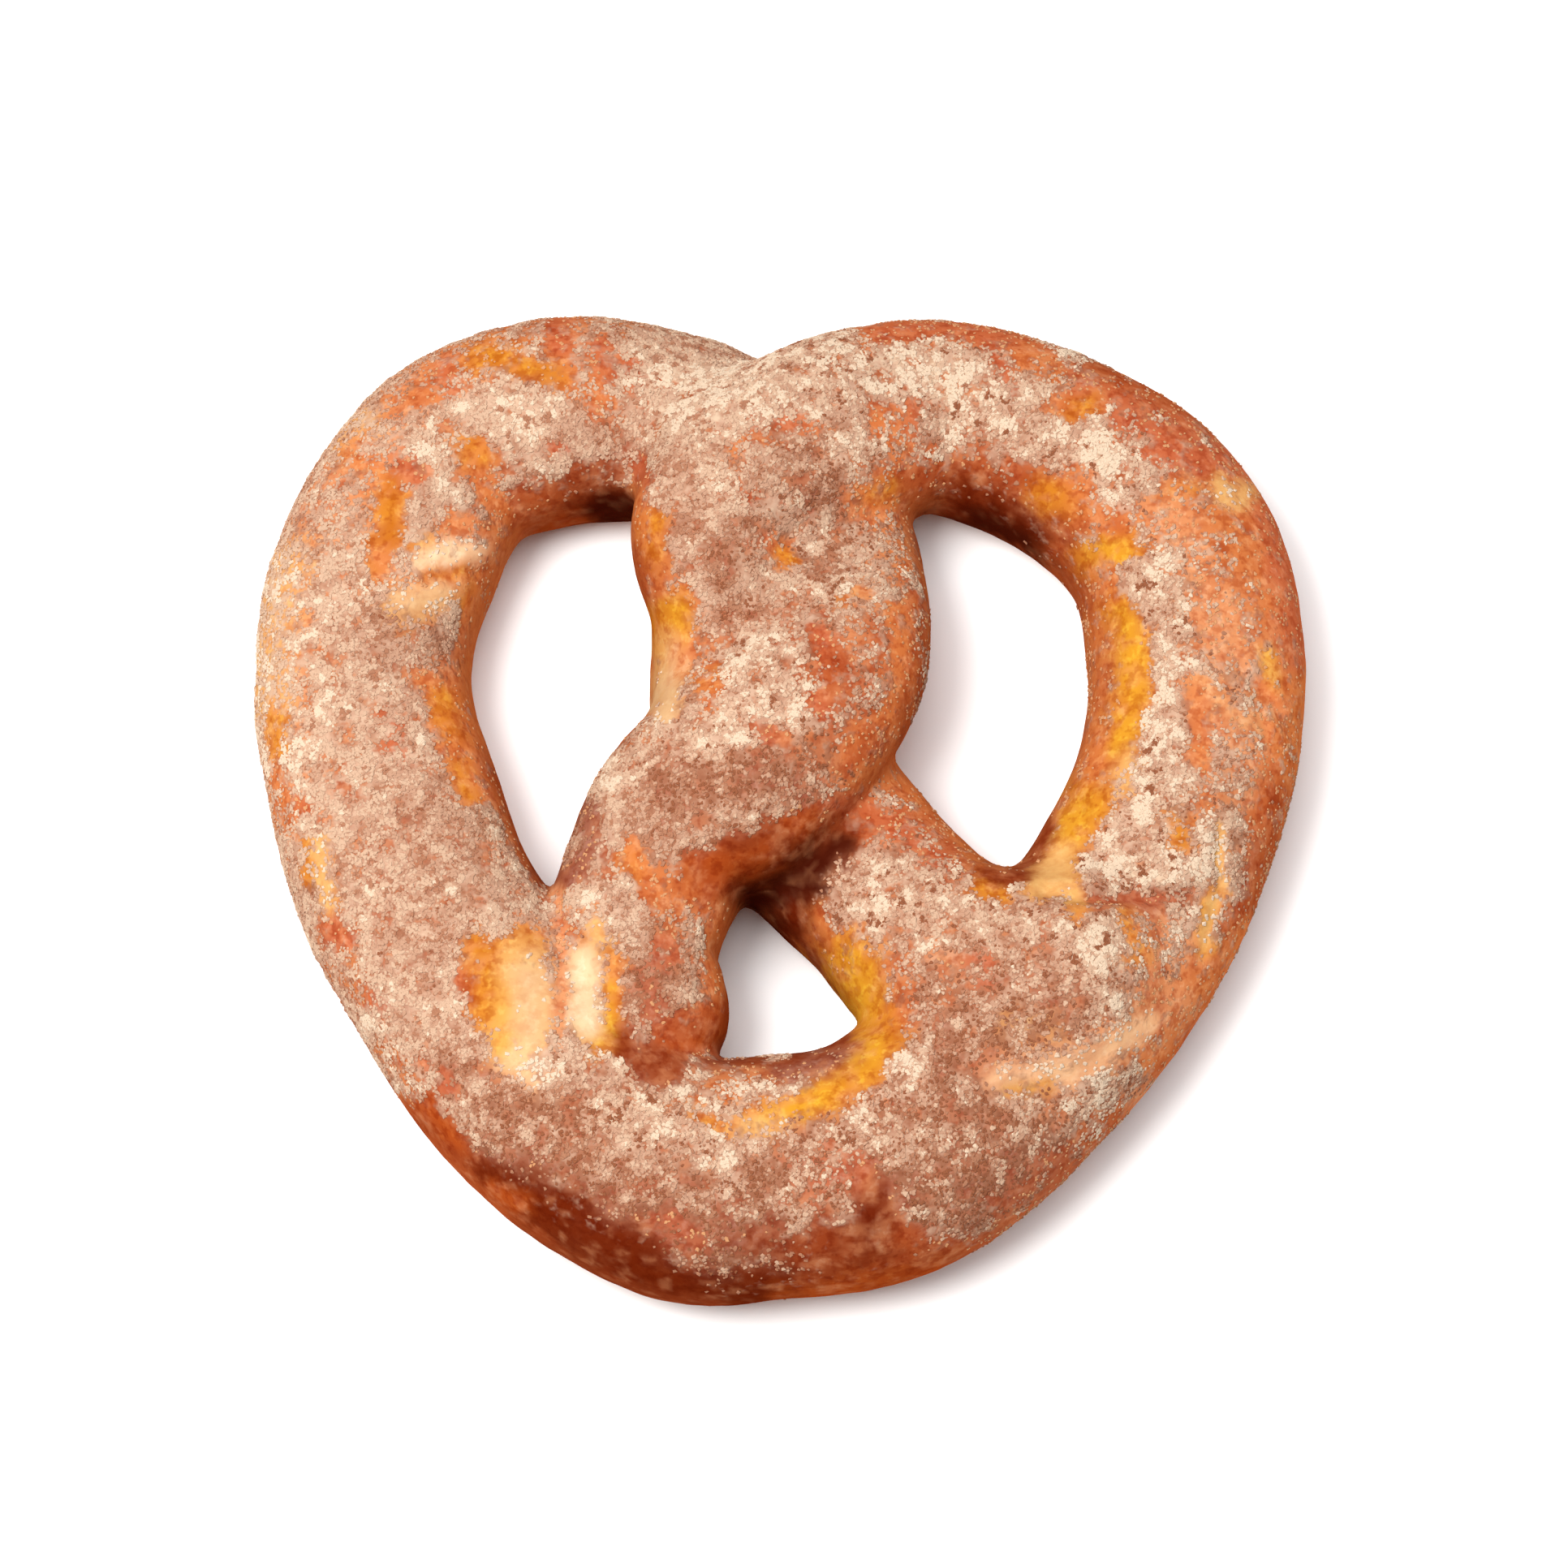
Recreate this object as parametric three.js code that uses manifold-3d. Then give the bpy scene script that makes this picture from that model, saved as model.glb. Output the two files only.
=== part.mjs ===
// A sugared soft pretzel: one rope of dough, thick in the middle and thinner
// towards its tips, laid in a loop, its arms crossed twice and pressed down.
// Millimetres, +Z up, resting on z = 0, the belly of the loop towards -Y.
import * as THREE from "three";
import { mergeVertices } from "three/addons/utils/BufferGeometryUtils.js";
import Module from "manifold-3d";

const wasm = await Module();
wasm.setup();

// ---- named sizes ----------------------------------------------------------
const RING_SIDES = 24; // facets round the rope
const RING_STEP = 4.3; // spacing of the rings along the rope
const REST_HEIGHT = 0.78; // height of a resting rope's centre, in half widths
const PLUMPNESS = 0.9; // half height of the rope, in half widths
const TIP_RINGS = 4; // rings that round off a tip
const TIP_POWER = 2.3; // above 2 the tip is blunter than an ellipse
const LEFT_TIP = 9.2; // how far each tip reaches past its last landmark
const RIGHT_TIP = 13.5;

// ---- the rope's course ----------------------------------------------------
// One line for each place where the rope was bent, laid or pressed, from the
// left tip to the right one: where its centre lies and its half width there.
// A place that isn't simply resting on the table also has the height of its
// centre, and how far the dough reaches above and below that.
const rest = (x, y, half) => ({
  x,
  y,
  half,
  z: REST_HEIGHT * half,
  above: PLUMPNESS * half,
  below: PLUMPNESS * half,
});
const raised = (x, y, half, z, above, below) => ({ x, y, half, z, above, below });

const COURSE = [
  // the left arm, from its tip on the belly up over the lower crossing
  raised(-19.5, -33.8, 11.9, 16.5, 11.5, 14),
  raised(-21.6, -25.3, 12.6, 17, 11.5, 15),
  raised(-15.7, -9.8, 13.7, 18.5, 12, 16.5),
  raised(-6.6, -1.7, 15.4, 21.5, 12, 15),
  raised(5.2, 11.6, 13.8, 20.5, 12, 16),
  raised(9.9, 26.7, 11.3, 15, 11.5, 15.5),
  // under the upper crossing and out to the left lobe
  raised(4.9, 40.8, 12.2, 10.5, 10, 11.5),
  raised(-9.8, 53.3, 13.7, 10.2, 10.6, 11.4),
  rest(-30.8, 55.9, 15.4),
  rest(-48.2, 49.4, 15.3),
  rest(-57.9, 31.6, 16.1),
  rest(-60.2, 14.1, 15.8),
  rest(-56.5, -3.7, 16.5),
  // the belly
  rest(-49.3, -21.9, 16.9),
  rest(-34.0, -44.0, 17.8),
  rest(-16.2, -57.1, 17.5),
  rest(-1.0, -58.0, 17.1),
  rest(17.7, -53.1, 17.7),
  raised(42.6, -28.0, 17.4, 12.8, 13.2, 15),
  // the right lobe
  rest(55.5, -3.5, 16),
  rest(59.3, 18.8, 16),
  rest(54.6, 37.8, 15.6),
  rest(40.4, 50.6, 15),
  raised(21.5, 56.4, 14.4, 12.2, 12.8, 12.8),
  // over the upper crossing, down the column and under the lower crossing
  raised(5.3, 49.9, 15.2, 17.5, 12.5, 13.5),
  raised(-9.5, 37.9, 12.6, 21.5, 12, 14),
  raised(-8.0, 23.4, 11.4, 18, 11.5, 17),
  raised(-4.0, 7.3, 14.6, 11.5, 10.5, 12),
  raised(5.7, -6.5, 14.7, 10, 12, 12),
  raised(14.8, -17.4, 14.1, 11.5, 13, 13),
  // the right arm's flattened tip, on top of the belly
  raised(24.2, -27.6, 15.2, 16.5, 13, 14),
  raised(38.2, -32.2, 15.6, 20.5, 12, 13),
];
// The rope crosses itself, so it is made in three lengths that don't.
const CUTS = [0, 10, 21, COURSE.length - 1];

// ---- the shape ------------------------------------------------------------
const KEYS = ["x", "y", "z", "half", "above", "below"];

// Everything about the rope at place u of the course, a smooth run through the
// landmarks: u is 0 at the first one and COURSE.length - 1 at the last.
function at(u) {
  const last = COURSE.length - 1;
  const i = Math.min(Math.max(Math.floor(u), 0), last - 1);
  const t = u - i;
  const pick = (key, j) =>
    j < 0
      ? 2 * COURSE[0][key] - COURSE[1][key]
      : j > last
        ? 2 * COURSE[last][key] - COURSE[last - 1][key]
        : COURSE[j][key];
  const value = {};
  for (const key of KEYS) {
    const [a, b, c, d] = [i - 1, i, i + 1, i + 2].map((j) => pick(key, j));
    value[key] =
      0.5 *
      (2 * b +
        (c - a) * t +
        (2 * a - 5 * b + 4 * c - d) * t * t +
        (3 * b - a - 3 * c + d) * t * t * t);
  }
  return value;
}

const point = (u) => {
  const p = at(u);
  return new THREE.Vector3(p.x, p.y, p.z);
};

// A closed ring of the rope at u, moved along the rope by shift and shrunk by scale.
function ring(u, shift = 0, scale = 1) {
  const size = at(u);
  const h = 0.02;
  const forward = point(u + h).sub(point(u - h)).normalize();
  const side = new THREE.Vector3(0, 0, 1).cross(forward).normalize();
  const up = forward.clone().cross(side);
  const centre = point(u).addScaledVector(forward, shift);
  const verts = [];
  for (let k = 0; k < RING_SIDES; k++) {
    const angle = (2 * Math.PI * (k + 0.5)) / RING_SIDES;
    const c = Math.cos(angle);
    const s = Math.sin(angle);
    verts.push(
      centre
        .clone()
        .addScaledVector(side, c * size.half * scale)
        .addScaledVector(up, s * scale * (s > 0 ? size.above : size.below)),
    );
  }
  return { verts, centre };
}

// The rings that round off a tip, from the last full ring outwards.
function tipRings(u, length, sign) {
  const rings = [];
  for (let k = 1; k <= TIP_RINGS; k++) {
    const reach = Math.sin((0.5 * Math.PI * k) / (TIP_RINGS + 0.6));
    const scale = (1 - reach ** TIP_POWER) ** (1 / TIP_POWER);
    rings.push(ring(u, sign * reach * length, scale));
  }
  return rings;
}

// A closed solid through a row of rings.
function loft(rings) {
  const n = RING_SIDES;
  const position = rings.flatMap((r) => r.verts.flatMap((v) => v.toArray()));
  const index = [];
  for (let r = 0; r + 1 < rings.length; r++)
    for (let k = 0; k < n; k++) {
      const a = r * n + k;
      const b = r * n + ((k + 1) % n);
      index.push(a, b, b + n, a, b + n, a + n);
    }
  const cap = (start, centre, flip) => {
    const middle = position.length / 3;
    position.push(...centre.toArray());
    for (let k = 0; k < n; k++) {
      const a = start + k;
      const b = start + ((k + 1) % n);
      index.push(...(flip ? [middle, b, a] : [middle, a, b]));
    }
  };
  cap(0, rings[0].centre, true);
  cap((rings.length - 1) * n, rings[rings.length - 1].centre, false);
  return solidFrom(position, index);
}

function solidFrom(position, index) {
  const geometry = new THREE.BufferGeometry();
  geometry.setAttribute("position", new THREE.Float32BufferAttribute(position, 3));
  geometry.setIndex(index);
  const merged = mergeVertices(geometry, 1e-4);
  const solid = new wasm.Manifold(
    new wasm.Mesh({
      numProp: 3,
      vertProperties: merged.attributes.position.array,
      triVerts: new Uint32Array(merged.index.array),
    }),
  );
  return solid;
}

// Places along the course from u0 to u1, evenly spaced along the rope.
function places(u0, u1) {
  const fine = 400;
  const run = [0];
  for (let k = 1; k <= fine; k++) {
    const a = point(u0 + ((u1 - u0) * (k - 1)) / fine);
    const b = point(u0 + ((u1 - u0) * k) / fine);
    run.push(run[k - 1] + a.distanceTo(b));
  }
  const count = Math.round(run[fine] / RING_STEP);
  const list = [];
  for (let j = 0, k = 0; j <= count; j++) {
    const want = (run[fine] * j) / count;
    while (k < fine - 1 && run[k + 1] < want) k++;
    const share = (want - run[k]) / (run[k + 1] - run[k]);
    list.push(u0 + ((u1 - u0) * (k + share)) / fine);
  }
  return list;
}

let dough = null;
for (let c = 0; c + 1 < CUTS.length; c++) {
  const rings = places(CUTS[c], CUTS[c + 1]).map((u) => ring(u));
  if (c === 0) rings.unshift(...tipRings(CUTS[0], LEFT_TIP, -1).reverse());
  if (c + 2 === CUTS.length)
    rings.push(...tipRings(COURSE.length - 1, RIGHT_TIP, 1));
  const length = loft(rings);
  dough = dough ? dough.add(length) : length;
}

// The rope is trimmed flat where it rests.
const table = new THREE.BoxGeometry(400, 400, 100).translate(0, 0, 50);
table.deleteAttribute("normal");
table.deleteAttribute("uv");
const tableMesh = mergeVertices(table, 1e-4);
dough = dough.intersect(
  solidFrom(Array.from(tableMesh.attributes.position.array), Array.from(tableMesh.index.array)),
);

// Its origin is the middle of its outline, on the table.
const box = dough.boundingBox();
dough = dough.translate([
  -(box.min[0] + box.max[0]) / 2,
  -(box.min[1] + box.max[1]) / 2,
  0,
]);

const out = dough.getMesh();
const position = new Float32Array(out.numVert * 3);
for (let i = 0; i < out.numVert; i++)
  position.set(out.vertProperties.subarray(i * out.numProp, i * out.numProp + 3), i * 3);
const geometry = new THREE.BufferGeometry();
geometry.setAttribute("position", new THREE.BufferAttribute(position, 3));
geometry.setIndex(new THREE.BufferAttribute(out.triVerts, 1));
geometry.computeVertexNormals();

const pretzel = new THREE.Mesh(
  geometry,
  new THREE.MeshStandardMaterial({ color: 0xd9a273, roughness: 0.7, metalness: 0 }),
);
pretzel.name = "pretzel";

const group = new THREE.Group();
group.add(pretzel);

export default group;
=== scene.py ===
"""A soft pretzel with a coat of cinnamon sugar, for Blender 4.5.

The dough is one closed mesh: a rope of rounded sections along the same course
as the CAD part, its strands melted together where they touch. The coat is laid
on it as relief and colour, and as loose grains of sugar and cinnamon, each a
small crystal of mesh at true size.
"""

import math

import bpy
import numpy as np
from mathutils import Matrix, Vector


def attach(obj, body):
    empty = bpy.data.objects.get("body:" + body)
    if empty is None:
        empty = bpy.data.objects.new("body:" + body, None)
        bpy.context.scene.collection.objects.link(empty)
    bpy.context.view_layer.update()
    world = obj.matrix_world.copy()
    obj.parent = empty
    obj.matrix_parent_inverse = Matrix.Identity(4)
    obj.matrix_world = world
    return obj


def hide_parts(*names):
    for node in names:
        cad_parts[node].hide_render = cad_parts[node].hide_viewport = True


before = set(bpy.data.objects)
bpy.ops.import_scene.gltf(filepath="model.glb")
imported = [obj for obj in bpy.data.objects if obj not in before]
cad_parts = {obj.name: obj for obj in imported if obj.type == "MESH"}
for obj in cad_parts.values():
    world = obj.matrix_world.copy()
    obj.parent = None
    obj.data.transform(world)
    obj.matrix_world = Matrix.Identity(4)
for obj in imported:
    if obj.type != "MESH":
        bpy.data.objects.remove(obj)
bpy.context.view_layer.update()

MM = 0.001

# --------------------------------------------------------------------------
# The rope's course: x, y, half width, and where it doesn't simply rest on the
# table also the height of its centre and how far it reaches above and below.
# Millimetres, as in the CAD part.
# --------------------------------------------------------------------------
REST_HEIGHT = 0.78
PLUMPNESS = 0.90
COURSE = [
    (-19.5, -33.8, 11.9, 16.5, 11.5, 14.0),
    (-21.6, -25.3, 12.6, 17.0, 11.5, 15.0),
    (-15.7, -9.8, 13.7, 18.5, 12.0, 16.5),
    (-6.6, -1.7, 15.4, 21.5, 12.0, 15.0),
    (5.2, 11.6, 13.8, 20.5, 12.0, 16.0),
    (9.9, 26.7, 11.3, 15.0, 11.5, 15.5),
    (4.9, 40.8, 12.2, 10.5, 10.0, 11.5),
    (-9.8, 53.3, 13.7, 10.2, 10.6, 11.4),
    (-30.8, 55.9, 15.4),
    (-48.2, 49.4, 15.3),
    (-57.9, 31.6, 16.1),
    (-60.2, 14.1, 15.8),
    (-56.5, -3.7, 16.5),
    (-49.3, -21.9, 16.9),
    (-34.0, -44.0, 17.8),
    (-16.2, -57.1, 17.5),
    (-1.0, -58.0, 17.1),
    (17.7, -53.1, 17.7),
    (42.6, -28.0, 17.4, 12.8, 13.2, 15.0),
    (55.5, -3.5, 16.0),
    (59.3, 18.8, 16.0),
    (54.6, 37.8, 15.6),
    (40.4, 50.6, 15.0),
    (21.5, 56.4, 14.4, 12.2, 12.8, 12.8),
    (5.3, 49.9, 15.2, 17.5, 12.5, 13.5),
    (-9.5, 37.9, 12.6, 21.5, 12.0, 14.0),
    (-8.0, 23.4, 11.4, 18.0, 11.5, 17.0),
    (-4.0, 7.3, 14.6, 11.5, 10.5, 12.0),
    (5.7, -6.5, 14.7, 10.0, 12.0, 12.0),
    (14.8, -17.4, 14.1, 11.5, 13.0, 13.0),
    (24.2, -27.6, 15.2, 16.5, 13.0, 14.0),
    (38.2, -32.2, 15.6, 20.5, 12.0, 13.0),
]
# The CAD part's origin is the middle of its outline: this is that shift.
SHIFT = np.array([0.358, 2.305, 0.0])

# The camera: a long lens high above the belly's side.
ELEVATION = math.radians(72.0)
LENS = 135.0
SENSOR = 36.0
PIXELS = 1932.0
PX_MM = 150.0 / 1295.0  # millimetres to a pixel at the aim
FOCAL_PX = PIXELS * LENS / SENSOR
DISTANCE = FOCAL_PX * PX_MM
AIM = np.array([0.0, 0.0, 13.0]) + SHIFT
TO_UP = np.array([0.0, math.sin(ELEVATION), math.cos(ELEVATION)])
TO_SCENE = np.array([0.0, math.cos(ELEVATION), -math.sin(ELEVATION)])


def course_samples(step=1.6):
    """Centres, sizes and frames along the rope, evenly spaced."""
    table = np.array(
        [
            row
            if len(row) == 6
            else (
                row[0],
                row[1],
                row[2],
                REST_HEIGHT * row[2],
                PLUMPNESS * row[2],
                PLUMPNESS * row[2],
            )
            for row in COURSE
        ]
    )
    padded = np.vstack([2 * table[0] - table[1], table, 2 * table[-1] - table[-2]])
    fine = []
    for i in range(len(table) - 1):
        a, b, c, d = padded[i : i + 4]
        t = np.linspace(0, 1, 60, endpoint=False)[:, None]
        fine.append(
            0.5
            * (
                2 * b
                + (c - a) * t
                + (2 * a - 5 * b + 4 * c - d) * t**2
                + (3 * b - a - 3 * c + d) * t**3
            )
        )
    fine = np.vstack(fine + [table[-1:]])
    u = np.arange(len(fine)) / 60.0
    place = fine[:, [0, 1, 3]]
    run = np.concatenate(
        [[0], np.cumsum(np.linalg.norm(np.diff(place, axis=0), axis=1))]
    )
    count = int(run[-1] / step)
    want = np.linspace(0, run[-1], count + 1)
    rows = np.stack([np.interp(want, run, fine[:, k]) for k in range(6)], axis=1)
    u = np.interp(want, run, u)
    centre = rows[:, [0, 1, 3]]
    forward = np.gradient(centre, axis=0)
    forward /= np.linalg.norm(forward, axis=1)[:, None]
    side = np.cross([0, 0, 1.0], forward)
    side /= np.linalg.norm(side, axis=1)[:, None]
    up = np.cross(forward, side)
    return {
        "u": u,
        "run": want,
        "centre": centre + SHIFT,
        "half": rows[:, 2],
        "above": rows[:, 4],
        "below": rows[:, 5],
        "forward": forward,
        "side": side,
        "up": up,
    }


# --------------------------------------------------------------------------
# Noise that is the same on every run
# --------------------------------------------------------------------------
def lattice(ix, iy, iz, seed):
    h = (
        ix.astype(np.uint32) * np.uint32(374761393)
        + iy.astype(np.uint32) * np.uint32(668265263)
        + iz.astype(np.uint32) * np.uint32(2147483647)
        + np.uint32(seed * 1013904223 & 0xFFFFFFFF)
    )
    h = (h ^ (h >> np.uint32(13))) * np.uint32(1274126177)
    h = (h ^ (h >> np.uint32(16))) * np.uint32(2246822519)
    h = h ^ (h >> np.uint32(15))
    return (h & np.uint32(0xFFFFFF)).astype(np.float64) / float(0xFFFFFF) * 2 - 1


def noise(p, size, seed=0):
    """Smooth value noise from -1 to 1, one lump to `size` millimetres."""
    q = p / size + 100.0
    i = np.floor(q).astype(np.int64)
    f = q - i
    f = f * f * f * (f * (f * 6 - 15) + 10)
    out = np.zeros(len(p))
    for dx in (0, 1):
        wx = f[:, 0] if dx else 1 - f[:, 0]
        for dy in (0, 1):
            wy = f[:, 1] if dy else 1 - f[:, 1]
            for dz in (0, 1):
                wz = f[:, 2] if dz else 1 - f[:, 2]
                out += (
                    wx
                    * wy
                    * wz
                    * lattice(i[:, 0] + dx, i[:, 1] + dy, i[:, 2] + dz, seed)
                )
    return out


def fbm(p, size, seed=0, octaves=3, gain=0.5):
    total = np.zeros(len(p))
    weight, norm = 1.0, 0.0
    for k in range(octaves):
        total += weight * noise(p + 17.3 * k, size / 2**k, seed + 7 * k)
        norm += weight
        weight *= gain
    return total / norm


def smoothstep(a, b, x):
    t = np.clip((x - a) / (b - a), 0, 1)
    return t * t * (3 - 2 * t)


# --------------------------------------------------------------------------
# The dough as a distance field, and the field's surface as a mesh
# --------------------------------------------------------------------------
VOXEL = 0.81
UNDER_COAT = 0.4  # the dough stays this far inside the outline, for the coat
rope = course_samples()
LOW = np.array([-82.0, -80.0, -3.1]) + SHIFT
HIGH = np.array([82.0, 77.0, 38.5]) + SHIFT
GRID = [np.arange(LOW[k], HIGH[k], VOXEL) for k in range(3)]
SHAPE = tuple(len(g) for g in GRID)


def bead_field(members):
    """Distance to the rope's surface, about true near it, for some samples."""
    field = np.full(SHAPE, 50.0, np.float32)
    for m in members:
        c = rope["centre"][m]
        half, above, below = rope["half"][m], rope["above"][m], rope["below"][m]
        reach = max(half, above, below) + 9.0
        lo = [
            max(0, int((c[k] - reach - LOW[k]) / VOXEL)) for k in range(3)
        ]
        hi = [
            min(SHAPE[k], int((c[k] + reach - LOW[k]) / VOXEL) + 1) for k in range(3)
        ]
        x = (GRID[0][lo[0] : hi[0]] - c[0])[:, None, None].astype(np.float32)
        y = (GRID[1][lo[1] : hi[1]] - c[1])[None, :, None].astype(np.float32)
        z = (GRID[2][lo[2] : hi[2]] - c[2])[None, None, :].astype(np.float32)
        s = x * rope["side"][m][0] + y * rope["side"][m][1]
        n = x * rope["up"][m][0] + y * rope["up"][m][1] + z * rope["up"][m][2]
        t = (
            x * rope["forward"][m][0]
            + y * rope["forward"][m][1]
            + z * rope["forward"][m][2]
        )
        high = np.where(n > 0, np.float32(above), np.float32(below))
        along = np.float32(0.5 * (half + above))
        length = np.sqrt(s * s + n * n + t * t) + 1e-6
        # a slightly squarer section than an ellipse, as risen dough has
        e = 2.25
        rho = (
            np.abs(s / half) ** e + np.abs(n / high) ** e + np.abs(t / along) ** e
        ) ** (1 / e)
        d = length * (1 - 1 / np.maximum(rho, 1e-3))
        part = field[lo[0] : hi[0], lo[1] : hi[1], lo[2] : hi[2]]
        np.minimum(part, d, out=part)
    return field


def smooth_min(a, b, k):
    h = np.maximum(k - np.abs(a - b), 0) / k
    return np.minimum(a, b) - h * h * h * k / 6.0


def dough_field():
    blocks = 10
    of = (rope["run"] / rope["run"][-1] * blocks).astype(int).clip(0, blocks - 1)
    nearest = np.full(SHAPE, 60.0, np.float32)
    owner = np.zeros(SHAPE, np.int8)
    fields = []
    for b in range(blocks):
        f = bead_field(np.flatnonzero(of == b))
        fields.append(f)
        closer = f < nearest
        nearest[closer] = f[closer]
        owner[closer] = b
    other = np.full(SHAPE, 60.0, np.float32)
    for b in range(blocks):
        apart = np.abs(owner - b) >= 2
        np.minimum(other, np.where(apart, fields[b], 60.0), out=other)
    x, y, z = np.meshgrid(*GRID, indexing="ij", sparse=True)
    x0, y0 = 41.0 + SHIFT[0], -31.0 + SHIFT[1]
    tip = np.exp(-(((x - x0) / 19.0) ** 2 + ((y - y0) / 17.0) ** 2))
    fold = np.exp(-(((x - 1.5) / 13.0) ** 2 + ((y - 32.0) / 11.0) ** 2))
    joint = np.exp(-(((x + 14.5) / 11.0) ** 2 + ((y - 56.0) / 13.0) ** 2))
    seam = np.exp(-(((x + 17.0) / 9.0) ** 2 + ((y - 14.0) / 9.0) ** 2))
    slit = np.exp(-(((x + 4.4) / 6.0) ** 2 + ((y + 10.0) / 5.0) ** 2))
    high = smoothstep(14.0, 22.0, z)
    melt = 3.2 + 9.0 * tip + 8.0 * slit
    melt = melt + high * (11.0 * fold + 8.0 * seam)
    melt = melt + smoothstep(10.0, 17.0, z) * 13.0 * joint
    melt = melt.astype(np.float32)
    f = smooth_min(nearest, other, melt) + np.float32(UNDER_COAT)
    # trimmed flat where it rests, with a rounded edge
    k = 2.4
    g = -z.astype(np.float32)
    h = np.maximum(k - np.abs(f - g), 0) / k
    f = np.maximum(f, g) + h * h * h * k / 6.0
    return f.astype(np.float32), owner


def surface_net(f):
    """The zero surface of f as quads: one vertex to each cell it passes."""
    inside = f < 0
    nx, ny, nz = f.shape
    count = np.zeros((nx - 1, ny - 1, nz - 1), np.int8)
    for dx in (0, 1):
        for dy in (0, 1):
            for dz in (0, 1):
                count += inside[
                    dx : nx - 1 + dx, dy : ny - 1 + dy, dz : nz - 1 + dz
                ]
    active = (count > 0) & (count < 8)
    cells = np.argwhere(active)
    index = np.full(active.shape, -1, np.int64)
    index[tuple(cells.T)] = np.arange(len(cells))
    corners = np.array(
        [(a, b, c) for a in (0, 1) for b in (0, 1) for c in (0, 1)]
    )
    value = np.stack(
        [f[tuple((cells + c).T)] for c in corners], axis=1
    ).astype(np.float64)
    total = np.zeros((len(cells), 3))
    hits = np.zeros(len(cells))
    for a in range(8):
        for b in range(a + 1, 8):
            if np.abs(corners[a] - corners[b]).sum() != 1:
                continue
            va, vb = value[:, a], value[:, b]
            cross = (va < 0) != (vb < 0)
            t = np.where(cross, va / np.where(cross, va - vb, 1), 0)
            total += np.where(
                cross[:, None], corners[a] + (corners[b] - corners[a]) * t[:, None], 0
            )
            hits += cross
    verts = LOW + (cells + total / hits[:, None]) * VOXEL
    quads = []
    for axis in range(3):
        b, c = [(1, 2), (2, 0), (0, 1)][axis]
        lo = [slice(None)] * 3
        hi = [slice(None)] * 3
        lo[axis] = slice(0, -1)
        hi[axis] = slice(1, None)
        change = inside[tuple(lo)] != inside[tuple(hi)]
        edges = np.argwhere(change)
        ok = (
            (edges[:, b] > 0)
            & (edges[:, c] > 0)
            & (edges[:, b] < f.shape[b] - 1)
            & (edges[:, c] < f.shape[c] - 1)
        )
        edges = edges[ok]
        starts_inside = inside[tuple(edges.T)]
        ring = []
        for db, dc in ((1, 1), (0, 1), (0, 0), (1, 0)):
            cell = edges.copy()
            cell[:, b] -= db
            cell[:, c] -= dc
            ring.append(index[tuple(cell.T)])
        ring = np.stack(ring, axis=1)
        ring[~starts_inside] = ring[~starts_inside][:, ::-1]
        quads.append(ring)
    return verts, np.vstack(quads)


def sample_grid(field, p):
    q = (p - LOW) / VOXEL
    i = np.clip(np.floor(q).astype(int), 0, np.array(field.shape[:3]) - 2)
    f = q - i
    out = 0
    for dx in (0, 1):
        wx = f[:, 0] if dx else 1 - f[:, 0]
        for dy in (0, 1):
            wy = f[:, 1] if dy else 1 - f[:, 1]
            for dz in (0, 1):
                wz = f[:, 2] if dz else 1 - f[:, 2]
                out = out + (wx * wy * wz) * field[
                    i[:, 0] + dx, i[:, 1] + dy, i[:, 2] + dz
                ]
    return out


def normals_of(verts, quads):
    a = verts[quads[:, 2]] - verts[quads[:, 0]]
    b = verts[quads[:, 3]] - verts[quads[:, 1]]
    n = np.cross(a, b)
    out = np.zeros_like(verts)
    for k in range(4):
        np.add.at(out, quads[:, k], n)
    return out / (np.linalg.norm(out, axis=1)[:, None] + 1e-12)


field, owner = dough_field()
verts, quads = surface_net(field)
for _ in range(3):
    d = sample_grid(field, verts)
    g = np.stack(
        [
            sample_grid(field, verts + e) - sample_grid(field, verts - e)
            for e in np.eye(3) * 0.5
        ],
        axis=1,
    )
    length2 = np.maximum((g**2).sum(1), 0.2)
    verts = verts - np.clip(d / length2, -0.5, 0.5)[:, None] * g
normals = normals_of(verts, quads)


# --------------------------------------------------------------------------
# Where the coat lies, how the crust is baked, and the light and shade painted into both
# --------------------------------------------------------------------------
def seen_from_above(p):
    """Where a point shows in the camera's 1932 x 1932 frame."""
    q = p - AIM
    depth = DISTANCE + q @ TO_SCENE
    return np.stack(
        [
            PIXELS / 2 + FOCAL_PX * q[:, 0] / depth,
            PIXELS / 2 - FOCAL_PX * (q @ TO_UP) / depth,
        ],
        axis=1,
    )


def linear(rgb):
    c = np.array(rgb, float) / 255.0
    return np.where(c <= 0.04045, c / 12.92, ((c + 0.055) / 1.055) ** 2.4)


CRUST = {
    "orange": (210, 118, 62),
    "red": (196, 98, 60),
    "rust": (178, 84, 42),
    "russet": (176, 76, 28),
    "brown": (144, 60, 28),
    # deep is a dark bake and is also used as painted shade; the darkest colour after it is
    # used only as painted shade, in creases, on hole walls and under the crossings
    "deep": (110, 34, 9),
    "dark": (70, 20, 8),
    "mauve": (158, 94, 72),
    "stained": (188, 130, 100),
    "peach": (224, 148, 100),
    "amber": (208, 126, 36),
    "gold": (221, 153, 42),
    "straw": (230, 174, 105),
    "cream": (224, 178, 128),
    "blush": (252, 200, 150),
    "milk": (242, 208, 164),
}
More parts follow.
